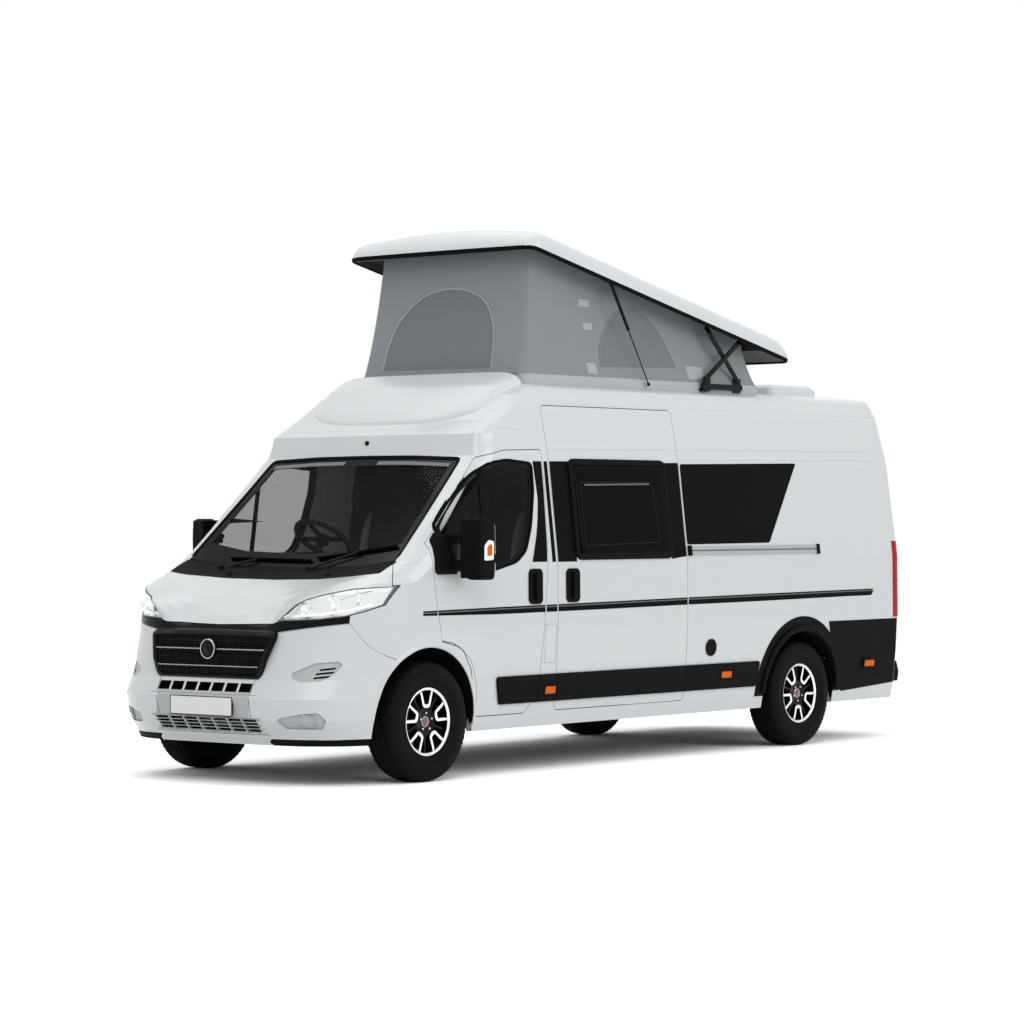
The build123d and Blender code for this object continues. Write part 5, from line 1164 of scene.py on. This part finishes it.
# ---------------------------------------------------------------- wheels
TREAD_PITCHES = 64
PITCH_STEPS = 6
SHOULDER_CUT, MIDDLE_CUT = 5.5, 4.0         # depth of the cuts across the two kinds of block
TREAD = [
    # x, radius, kind of column: 0 plain, 1 shoulder block, 2 middle block, 3 bottom of a groove
    (-88, 203, 0), (-104, 214, 0), (-109, 243, 0), (-107, 246, 0), (-112, 262, 0), (-112.5, 295, 0),
    (-109, 325, 0), (-107.5, 328, 0), (-105, 342, 1), (-99, 356, 1), (-90, 362.5, 1), (-64, 367.6, 1),
    (-62, 360, 3), (-53, 360, 3), (-51, 367.8, 2), (-24, 368, 2), (-22, 360, 3), (-14, 360, 3),
    (-12, 368, 2), (12, 368, 2), (14, 360, 3), (22, 360, 3), (24, 368, 2), (51, 367.8, 2), (53, 360, 3),
    (62, 360, 3), (64, 367.6, 1), (90, 362.5, 1), (99, 356, 1), (105, 342, 1), (107.5, 328, 0),
    (109, 325, 0), (112.5, 295, 0), (112, 262, 0), (107, 246, 0), (109, 243, 0), (104, 214, 0), (88, 203, 0),
    (84, 196, 0), (-84, 196, 0),
]
tread = np.array(TREAD, float)
step = np.arange(TREAD_PITCHES * PITCH_STEPS)[:, None]
angle = step * 2 * np.pi / len(step)
across, radius, kind = tread.T
shift = np.where(across > 0, PITCH_STEPS // 2, 0) + np.round(np.abs(across) / 30).astype(int)
phase = (step + shift) % PITCH_STEPS
radius = radius - (SHOULDER_CUT * ((kind == 1) & (phase < 2)) + MIDDLE_CUT * ((kind == 2) & (phase < 1)))
tyre_rings = np.stack([across + 0 * radius, radius * np.cos(angle), radius * np.sin(angle)], -1)


def about_axle(mesh, degrees):
    """Mesh turned about the X axis."""
    points, faces = mesh
    c, s = np.cos(np.radians(degrees)), np.sin(np.radians(degrees))
    x, y, z = points.T
    return np.stack([x, y * c - z * s, y * s + z * c], -1), faces


def spoke_bar(path, half_width, front, back, chamfer):
    """Bar along a path in the wheel's face, from one x at its front to another at its back, its edges cut."""
    line = np.concatenate([np.zeros((len(path), 1)), path], 1)
    widths = np.asarray(half_width, float)[:, None, None]
    edge = front - chamfer
    profile = np.array([(-1, back), (-1, edge), (-0.8, front), (0.8, front), (1, edge), (1, back)])
    ahead = np.gradient(line, axis=0)
    ahead /= np.linalg.norm(ahead, axis=1, keepdims=True)
    side = np.cross(ahead, (1.0, 0, 0))
    rings = line[:, None] + side[:, None] * (profile[None, :, :1] * widths)
    return loop_mesh(rings + np.array([1.0, 0, 0]) * profile[None, :, 1:])


def five(mesh, start=0):
    """Copies of a mesh, one for each of the wheel's five spokes."""
    return [about_axle(mesh, 72 * number + start) for number in range(5)]


barrel_mesh = turned_mesh([(-90, 189), (-90, 215), (-83, 215), (-79, 204), (79, 204), (83, 215), (92, 214),
                           (96, 206), (92, 196), (76, 190), (60, 192), (-60, 186)])
ring_mesh = turned_mesh([(88, 191), (93, 195), (97.5, 203), (94.5, 213), (96.5, 203.5), (92, 196),
                         (87, 193)], 96)
hub_mesh = turned_mesh([(18, 27), (66, 27), (66, 30), (70, 34), (70, 66), (74, 72), (75, 86), (66, 92),
                        (34, 92), (18, 80)])
brake_mesh = turned_mesh([(-8, 27), (17, 27), (17, 84), (6, 90), (6, 152), (-8, 152)])
cap_mesh = turned_mesh([(66, 0.5), (66, 28), (73, 28), (76.5, 22), (78, 12), (78.3, 0.5)], 40)
cap_ring_mesh = turned_mesh([(66, 28), (74, 28.4), (76, 31), (74, 34), (66, 35)], 40)
bolt_points, bolt_faces = turned_mesh([(68, 0.5), (68, 8.4), (82, 8), (84, 6), (84, 0.5)], 6)
U_PATH = curve([(-54, 189), (-40, 150), (-29, 113), (-21, 98), (0, 95), (21, 98), (29, 113), (40, 150),
                (54, 189)], 5)[::-1]
u_widths = np.interp(np.linspace(-1, 1, len(U_PATH)), [-1, -0.4, 0, 0.4, 1], [8.5, 9.5, 11.5, 9.5, 8.5])
u_bar = spoke_bar(U_PATH, u_widths + 1.5, 83, 36, 3)
u_face = spoke_bar(U_PATH, u_widths - 0.4, 85.2, 80, 1)
rib_bar = spoke_bar([(0, 80), (0, 120), (0, 160), (0, 193)], [11, 8, 7, 9], 70, 40, 4)
WHEEL_PARTS = [
    # name, meshes, finish, whether it is shaded smooth
    ("tyre", [loop_mesh(tyre_rings, True)], TYRE_RUBBER, True),
    ("rim_barrel", [barrel_mesh], BLACK_ALLOY, True),
    ("rim_edge", [ring_mesh], TURNED_ALLOY, True),
    ("wheel_hub", [hub_mesh], BLACK_ALLOY, True),
    ("spokes", five(u_bar) + five(rib_bar, 36), BLACK_ALLOY, True),
    ("spoke_faces", five(u_face), TURNED_ALLOY, True),
    ("wheel_bolts", five((bolt_points + (0, 53, 0), bolt_faces), 18), BRIGHT_STEEL, False),
    ("wheel_cap", [cap_mesh], RED_LACQUER, True),
    ("wheel_cap_ring", [cap_ring_mesh], BRIGHT_STEEL, True),
    ("brake_disc", [brake_mesh], BRAKE_IRON, True),
]
WHEELS = [
    # name, x, y, turn of the wheel about its axle, body of its caliper
    ("front_left", 905.0, FRONT_AXLE_Y, 0, "knuckle_left"),
    ("front_right", -905.0, FRONT_AXLE_Y, 24, "knuckle_right"),
    ("rear_left", 895.0, REAR_AXLE_Y, 36, "body"), ("rear_right", -895.0, REAR_AXLE_Y, 50, "body"),
]
for name, x, y, turn, caliper_body in WHEELS:
    carrier = "wheel_" + name
    side = np.sign(x)

    def placed(mesh):
        """Mesh turned with the wheel, its outer face set outward, and moved to its axle."""
        points, faces = about_axle(mesh, turn)
        faces = faces if side > 0 else [face[::-1] for face in faces]
        return points * (side, 1, 1) + (x, y, AXLE_Z), faces

    for part, meshes, finish, smooth in WHEEL_PARTS:
        piece = joined(f"{part}_{name}", [placed(mesh) for mesh in meshes], finish, carrier, smooth)
        if part == "tyre":
            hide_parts(carrier)
    caliper = arc(y, 132, 150, 215, 14)
    caliper = np.concatenate([np.full((14, 1), x - side * 2), caliper], 1)
    rod("brake_caliper_" + name, caliper, box_outline(-30, 30, -34, 34, 10), (1, 0, 0), CAST_METAL,
        caliper_body)

# ---------------------------------------------------------------- mirrors
MIRROR_PLAN = np.array([(1126, -2036), (1238, -2018), (1252, -1905), (1240, -1878), (1126, -1878)], float)
MIRROR_LEVELS = [
    # z, share of the plan's size
    (1229, 0.62), (1231, 0.80), (1237, 0.92), (1248, 0.99), (1268, 1.02), (1352, 1.035), (1356, 1.005),
    (1362, 1.005), (1366, 1.035), (1470, 1.045), (1540, 1.03), (1568, 0.99), (1590, 0.92), (1603, 0.80),
    (1610, 0.6),
]
mirror_rings = scaled_rings(rounded(MIRROR_PLAN, 34, 7), MIRROR_LEVELS)
MIRROR_BACK_Y = -1876.0     # the glasses' plane
MIRROR_GLASS = [
    # name, outline (x, z)
    ("lower", rounded([(1136, 1262), (1238, 1262), (1240, 1340), (1136, 1340)], 16)),
    ("upper", rounded([(1136, 1378), (1240, 1378), (1236, 1572), (1140, 1572)], 20)),
]
MIRROR_ARMS = [
    # name, height, half of its width
    ("upper", 1500, 24), ("lower", 1322, 26),
]
MIRROR_FOOT = rounded([(-2188, 1270), (-1985, 1270), (-1985, 1342), (-2052, 1490), (-2122, 1530),
                       (-2188, 1470)], 22)
MIRROR_BLINKER = rounded([(-1984, 1347), (-1912, 1352), (-1908, 1466), (-1950, 1474), (-1984, 1440)], 12)
for side_name, side in SIDES:
    door = "front_door_" + side_name
    loop_piece("mirror_housing_" + side_name, mirror_rings * (side, 1, 1), BLACK_PLASTIC, door)

    def on_mirror(y, z, lift):
        """Outer face of the mirror's housing."""
        return np.stack([side * (np.interp(y, [-2018, -1905], [1241, 1255]) + lift), y, z], -1)

    blinker_middle = MIRROR_BLINKER.mean(0)
    # Painted light: the blinker's clear lens glows faintly white, though it is off.
    pane("mirror_blinker_" + side_name, MIRROR_BLINKER, [(8, 6), (3, 5), (0, 1), (0, -4)], on_mirror,
         BULB_GLASS_PAINTED_GLOW, door, 4, 14)
    inner = blinker_middle + (MIRROR_BLINKER - blinker_middle) * 0.6
    pane("mirror_blinker_amber_" + side_name, inner, [(3, 7.5), (1, 7), (0, 5), (0, 3)], on_mirror,
         AMBER_LENS, door, 3, 14)
    for name, outline in MIRROR_GLASS:
        pane(f"mirror_glass_{name}_{side_name}", outline * (side, 1), [(6, 4), (0, 3), (0, -3)],
             on_plane(1, MIRROR_BACK_Y), BRIGHT_STEEL, door, 3, 40)
    for name, z, radius in MIRROR_ARMS:
        path = curve([(side * 985, -2016, z - 6), (side * 1050, -2008, z), (side * 1140, -1990, z + 2)], 8)
        rod(f"mirror_arm_{name}_{side_name}", path, ring(radius, 16, 1.9), (0, 1, 0), BLACK_PLASTIC, door)
    pane("mirror_foot_" + side_name, MIRROR_FOOT, [(14, 19), (5, 17), (0, 12), (0, 0)], on_side(side),
         BLACK_PLASTIC, door, 4, 30)

# ---------------------------------------------------------------- cab: seats, dashboard, steering wheel
def cushion_mesh(centre, size, lean, power, seams=0.0, rows=28, columns=48):
    """Superquadric: a ball squared up by a power below one, drawn in along its seams, then leant back."""
    up = np.linspace(-np.pi / 2, np.pi / 2, rows + 2)[1:-1, None]
    round_it = np.linspace(0, 2 * np.pi, columns, endpoint=False)[None, :]

    def bent(value):
        """Sine or cosine carried to the squaring power, its sign kept."""
        return np.sign(value) * np.abs(value) ** power

    x = bent(np.cos(up)) * bent(np.cos(round_it))
    y = bent(np.cos(up)) * bent(np.sin(round_it))
    z = bent(np.sin(up)) + 0 * round_it
    down = np.exp(-((np.abs(x) - 0.55) / 0.045) ** 2)
    across = 0.6 * np.exp(-((z * 2.4 % 1 - 0.5) / 0.07) ** 2) * (np.abs(x) < 0.5)
    groove = 1 - seams * (down + across)
    points = np.stack([x * size[0] / 2, y * groove * size[1] / 2, z * size[2] / 2], -1).reshape(-1, 3)
    points = np.concatenate([points, [(0, 0, -size[2] / 2), (0, 0, size[2] / 2)]])
    c, s = np.cos(np.radians(lean)), np.sin(np.radians(lean))
    px, py, pz = points.T
    points = np.stack([px, py * c + pz * s, -py * s + pz * c], -1) + np.asarray(centre, float)
    fans = [[pole, after, step] for pole, step, after in fan_faces(rows, columns)]
    return points, grid_faces(rows, columns, False) + fans


SEAT_PARTS = [
    # name, middle (x from the seat's own middle, y, z), size, lean in degrees, power, seams, finish, fill
    ("cushion", (0, -1200, 1078), (480, 150, 540), 87, 0.45, 0.10, SEAT_CLOTH, 0.8),
    ("back", (0, -905, 1400), (470, 140, 640), 12, 0.42, 0.12, SEAT_CLOTH, 0.8),
    ("headrest", (0, -790, 1775), (270, 105, 190), 8, 0.5, 0.05, SEAT_CLOTH, 0.9),
    ("bolster_left", (228, -915, 1370), (70, 170, 560), 12, 0.7, 0.0, LEATHERCLOTH, 0.9),
    ("bolster_right", (-228, -915, 1370), (70, 170, 560), 12, 0.7, 0.0, LEATHERCLOTH, 0.9),
    ("side_left", (232, -1190, 1088), (70, 150, 500), 87, 0.7, 0.0, LEATHERCLOTH, 0.9),
    ("side_right", (-232, -1190, 1088), (70, 150, 500), 87, 0.7, 0.0, LEATHERCLOTH, 0.9),
]
SEAT_X = 430
SEAT_FOOT = box_outline(-205, 205, -1390, -900, 40)
SEAT_BASE = [
    # z, share of the foot's size
    (535.5, 1), (570, 1), (610, 0.82), (900, 0.78), (985, 0.9), (1010, 0.9),
]
for seat_name, side in SIDES:
    seat_x = side * SEAT_X
    for name, (x, y, z), size, lean, power, seams, finish, fill in SEAT_PARTS:
        mesh = cushion_mesh((seat_x + x, y, z), size, lean, power, seams)
        piece = joined(f"seat_{name}_{seat_name}", [mesh], finish, "body")
        if name == "cushion" and seat_name == "left":
            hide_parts("cab_seats")
    for letter, offset in (("a", -45), ("b", 45)):
        path = curve([(seat_x + offset, -822, 1660), (seat_x + offset, -808, 1730)], 6)
        rod(f"headrest_rod_{seat_name}_{letter}", path, ring(6), (1, 0, 0), BRIGHT_STEEL, "body")
    rings = scaled_rings(SEAT_FOOT, SEAT_BASE)
    loop_piece("seat_base_" + seat_name, rings + (seat_x, 0, 0), BLACK_PLASTIC, "body")

DASH_VENTS = [-700, -180, 180, 700]


def on_dash(x, z, lift):
    """Leaning face of the dashboard towards the seats."""
    return np.stack([x, -1772 + (z - 1180) * -0.12 + lift, z], -1)


for number, x in enumerate(DASH_VENTS):
    pane(f"dash_vent_{number}", box_outline(x - 62, x + 62, 1148, 1212, 18),
         [(10, 2), (4, 6), (0, 4), (0, -12)], on_dash, GLOSS_BLACK, "body", 3, 30)
hood = rounded([(-590, 1296), (-270, 1296), (-290, 1396), (-570, 1396)], 50)
HOOD_LEVELS = [
    # y, share of its height
    (-1990, 0.25), (-1960, 0.7), (-1900, 0.98), (-1840, 1.0), (-1818, 0.9),
]
HOOD_FOOT = 1296
rings = [np.stack([hood[:, 0], np.full(len(hood), y), HOOD_FOOT + (hood[:, 1] - HOOD_FOOT) * share], -1)
         for y, share in HOOD_LEVELS]
loop_piece("dash_instrument_hood", rings, DASH_SKIN, "body")
STEERING_CENTRE = np.array((-430.0, -1620.0, 1475.0))
STEERING_TILT = np.radians(-38)
STEERING_RADIUS = 190
turn = np.linspace(0, 2 * np.pi, 64, endpoint=False)
outward = np.stack([np.cos(turn), np.sin(turn), 0 * turn], -1)[:, None]
thickness = 12 * (1.4 + 0.25 * np.exp(-((np.cos(turn) ** 2 - 0.9) / 0.12) ** 2))
section = thickness[:, None, None] * ring(1, 14)
rim_rings = STEERING_RADIUS * outward + section[..., :1] * outward + section[..., 1:] * np.array((0, 0, 1))
c, s = np.cos(STEERING_TILT), np.sin(STEERING_TILT)
tilt = np.array([(1, 0, 0), (0, c, -s), (0, s, c)])
loop_piece("steering_rim_grip", rim_rings @ tilt.T + STEERING_CENTRE, DASH_SKIN, "body", closed=True)

# ---------------------------------------------------------------- rear doors and roof
REAR_HINGES = (760, 1330, 2090)     # heights
for side_name, side in SIDES:
    door = "rear_door_" + side_name
    window = rounded(np.array([(150, 1400), (760, 1400), (720, 1960), (150, 1960)], float) * (side, 1), 50)
    bead("rear_window_seal_" + side_name, window, [(8, -2), (10, 3), (4, 6), (-14, 4), (-18, -3), (-18, -8)],
         on_tail, RUBBER, door, spacing=45)
    bead("rear_window_frit_" + side_name, window, [(-16, -9), (-16, -4.5), (-60, -4.5), (-60, -9)], on_tail,
         FRIT, door, spacing=45)
    for number, z in enumerate(REAR_HINGES):
        x = side * (np.interp(z, SIDE[:, 1], SIDE[:, 0]) - 80)
        pane(f"rear_hinge_{number}_{side_name}", box_outline(x - 34, x + 34, z - 42, z + 42, 14),
             [(6, 13), (2, 11), (0, 7), (0, -3)], on_tail, WHITE_PAINT, door, 3, 25)
pane("rear_handle_base", box_outline(-96, -22, 1130, 1300, 20), [(8, 8), (3, 7), (0, 4), (0, -3)], on_tail,
     BLACK_PLASTIC, "rear_door_right", 4, 25)
grip = curve([(-59, 1140, 4), (-59, 1160, 26), (-59, 1215, 32), (-59, 1270, 26), (-59, 1290, 4)], 8)
rod("rear_handle_grip", on_tail(*grip.T), ring(12, 12, 0.7), (1, 0, 0), BLACK_PLASTIC, "rear_door_right")
brake_light = rounded([(-150, 2424), (150, 2424), (146, 2448), (-146, 2448)], 8)
pane("high_brake_light", brake_light, [(5, 9), (2, 8), (0, 5), (0, -6)], on_tail, RED_LENS, "body", 3, 30)
ribbon("rear_step_mat", [(-860, 3096), (860, 3096)], [(-860, 3170), (860, 3170)],
       [(0, -3), (0, 3), (0.12, 3), (0.14, 1), (0.3, 1), (0.32, 3), (0.5, 3), (0.52, 1), (0.7, 1), (0.72, 3),
        (1, 3), (1, -3)], on_plane(2, 548), RUBBER, "body", 60)
pane("roof_light_dome", box_outline(-400, 400, 2310, 2880, 60),
     [(34, 31), (22, 29), (11, 22), (3, 12), (0, 2), (0, -20)], on_plane(2, 2556), GELCOAT, "body", 6, 50)

# ---------------------------------------------------------------- camera, floor and light
CAMERA_PLACE = (13.688, -16.946, 1.583)
CAMERA_LOOK = (-0.63277, 0.77434, 0.00316)
LENS_MM = 112.06
CAMERA_ROLL = -0.15
camera_data = bpy.data.cameras.new("camera")
camera_data.lens = LENS_MM
camera_data.sensor_width = 36.0
camera_data.clip_end = 400.0
camera = bpy.data.objects.new("camera", camera_data)
bpy.context.scene.collection.objects.link(camera)
camera.location = CAMERA_PLACE
aim = Vector(CAMERA_LOOK).to_track_quat("-Z", "Y").to_matrix().to_4x4()
camera.rotation_euler = (aim @ Matrix.Rotation(np.radians(CAMERA_ROLL), 4, "Z")).to_euler()
bpy.context.scene.camera = camera


def seen_ray(tree):
    """One for rays from the camera, off a gloss or through glass, which show a surface; zero for light."""
    ray = add(tree, "ShaderNodeLightPath")
    first = add(tree, "ShaderNodeMath", {"operation": "MAXIMUM"},
                {0: (ray, "Is Camera Ray"), 1: (ray, "Is Glossy Ray")})
    return add(tree, "ShaderNodeMath", {"operation": "MAXIMUM"},
               {0: (first, "Value"), 1: (ray, "Is Transmission Ray")})


FLOOR_HALF = 150.0
FLOOR_SEEN = 1.7        # brightness of the floor to the camera, so that all but the shadow is white
floor_mesh = bpy.data.meshes.new("floor")
floor_mesh.from_pydata([(x * FLOOR_HALF, y * FLOOR_HALF, 0)
                        for x, y in ((-1, -1), (1, -1), (1, 1), (-1, 1))], [], [(0, 1, 2, 3)])
floor = bpy.data.objects.new("floor", floor_mesh)
bpy.context.scene.collection.objects.link(floor)
floor_material = bpy.data.materials.new("pale_studio_floor")
floor_material.use_nodes = True
tree = floor_material.node_tree
tree.nodes.remove(tree.nodes["Principled BSDF"])
seen = add(tree, "ShaderNodeMix",
           {"data_type": "RGBA", 6: (0.75, 0.75, 0.75, 1), 7: (FLOOR_SEEN, FLOOR_SEEN, FLOOR_SEEN, 1)},
           {0: (seen_ray(tree), "Value")})
diffuse = add(tree, "ShaderNodeBsdfDiffuse", {}, {"Color": (seen, 2)})
tree.links.new(diffuse.outputs["BSDF"], tree.nodes["Material Output"].inputs["Surface"])
floor_mesh.materials.append(floor_material)

SKY_LIGHT = 0.62
world = bpy.data.worlds.new("studio")
bpy.context.scene.world = world
world.use_nodes = True
tree = world.node_tree
background = tree.nodes["Background"]
background.inputs["Color"].default_value = linear("#FFFFFF")
strength = add(tree, "ShaderNodeMapRange", {"To Min": SKY_LIGHT, "To Max": 1.0},
               {"Value": (seen_ray(tree), "Value")})
tree.links.new(strength.outputs["Result"], background.inputs["Strength"])


def lamp(name, place, target, size, power):
    """Square area lamp that faces a point."""
    data = bpy.data.lights.new(name, "AREA")
    data.size = size
    data.energy = power
    light = bpy.data.objects.new(name, data)
    bpy.context.scene.collection.objects.link(light)
    light.location = place
    light.rotation_euler = (Vector(target) - Vector(place)).to_track_quat("-Z", "Y").to_euler()


LAMPS = [
    # name, place, aim, size in metres, watts
    ("key_light", (7, -9, 9), (0, 0, 1.2), 7, 298), ("side_light", (12, 4, 6), (0, 0, 1.2), 6, 312),
    ("top_light", (-2, 0, 11), (0, 0, 1), 9, 260),
]
for row in LAMPS:
    lamp(*row)
bpy.context.scene.view_settings.view_transform = "Standard"
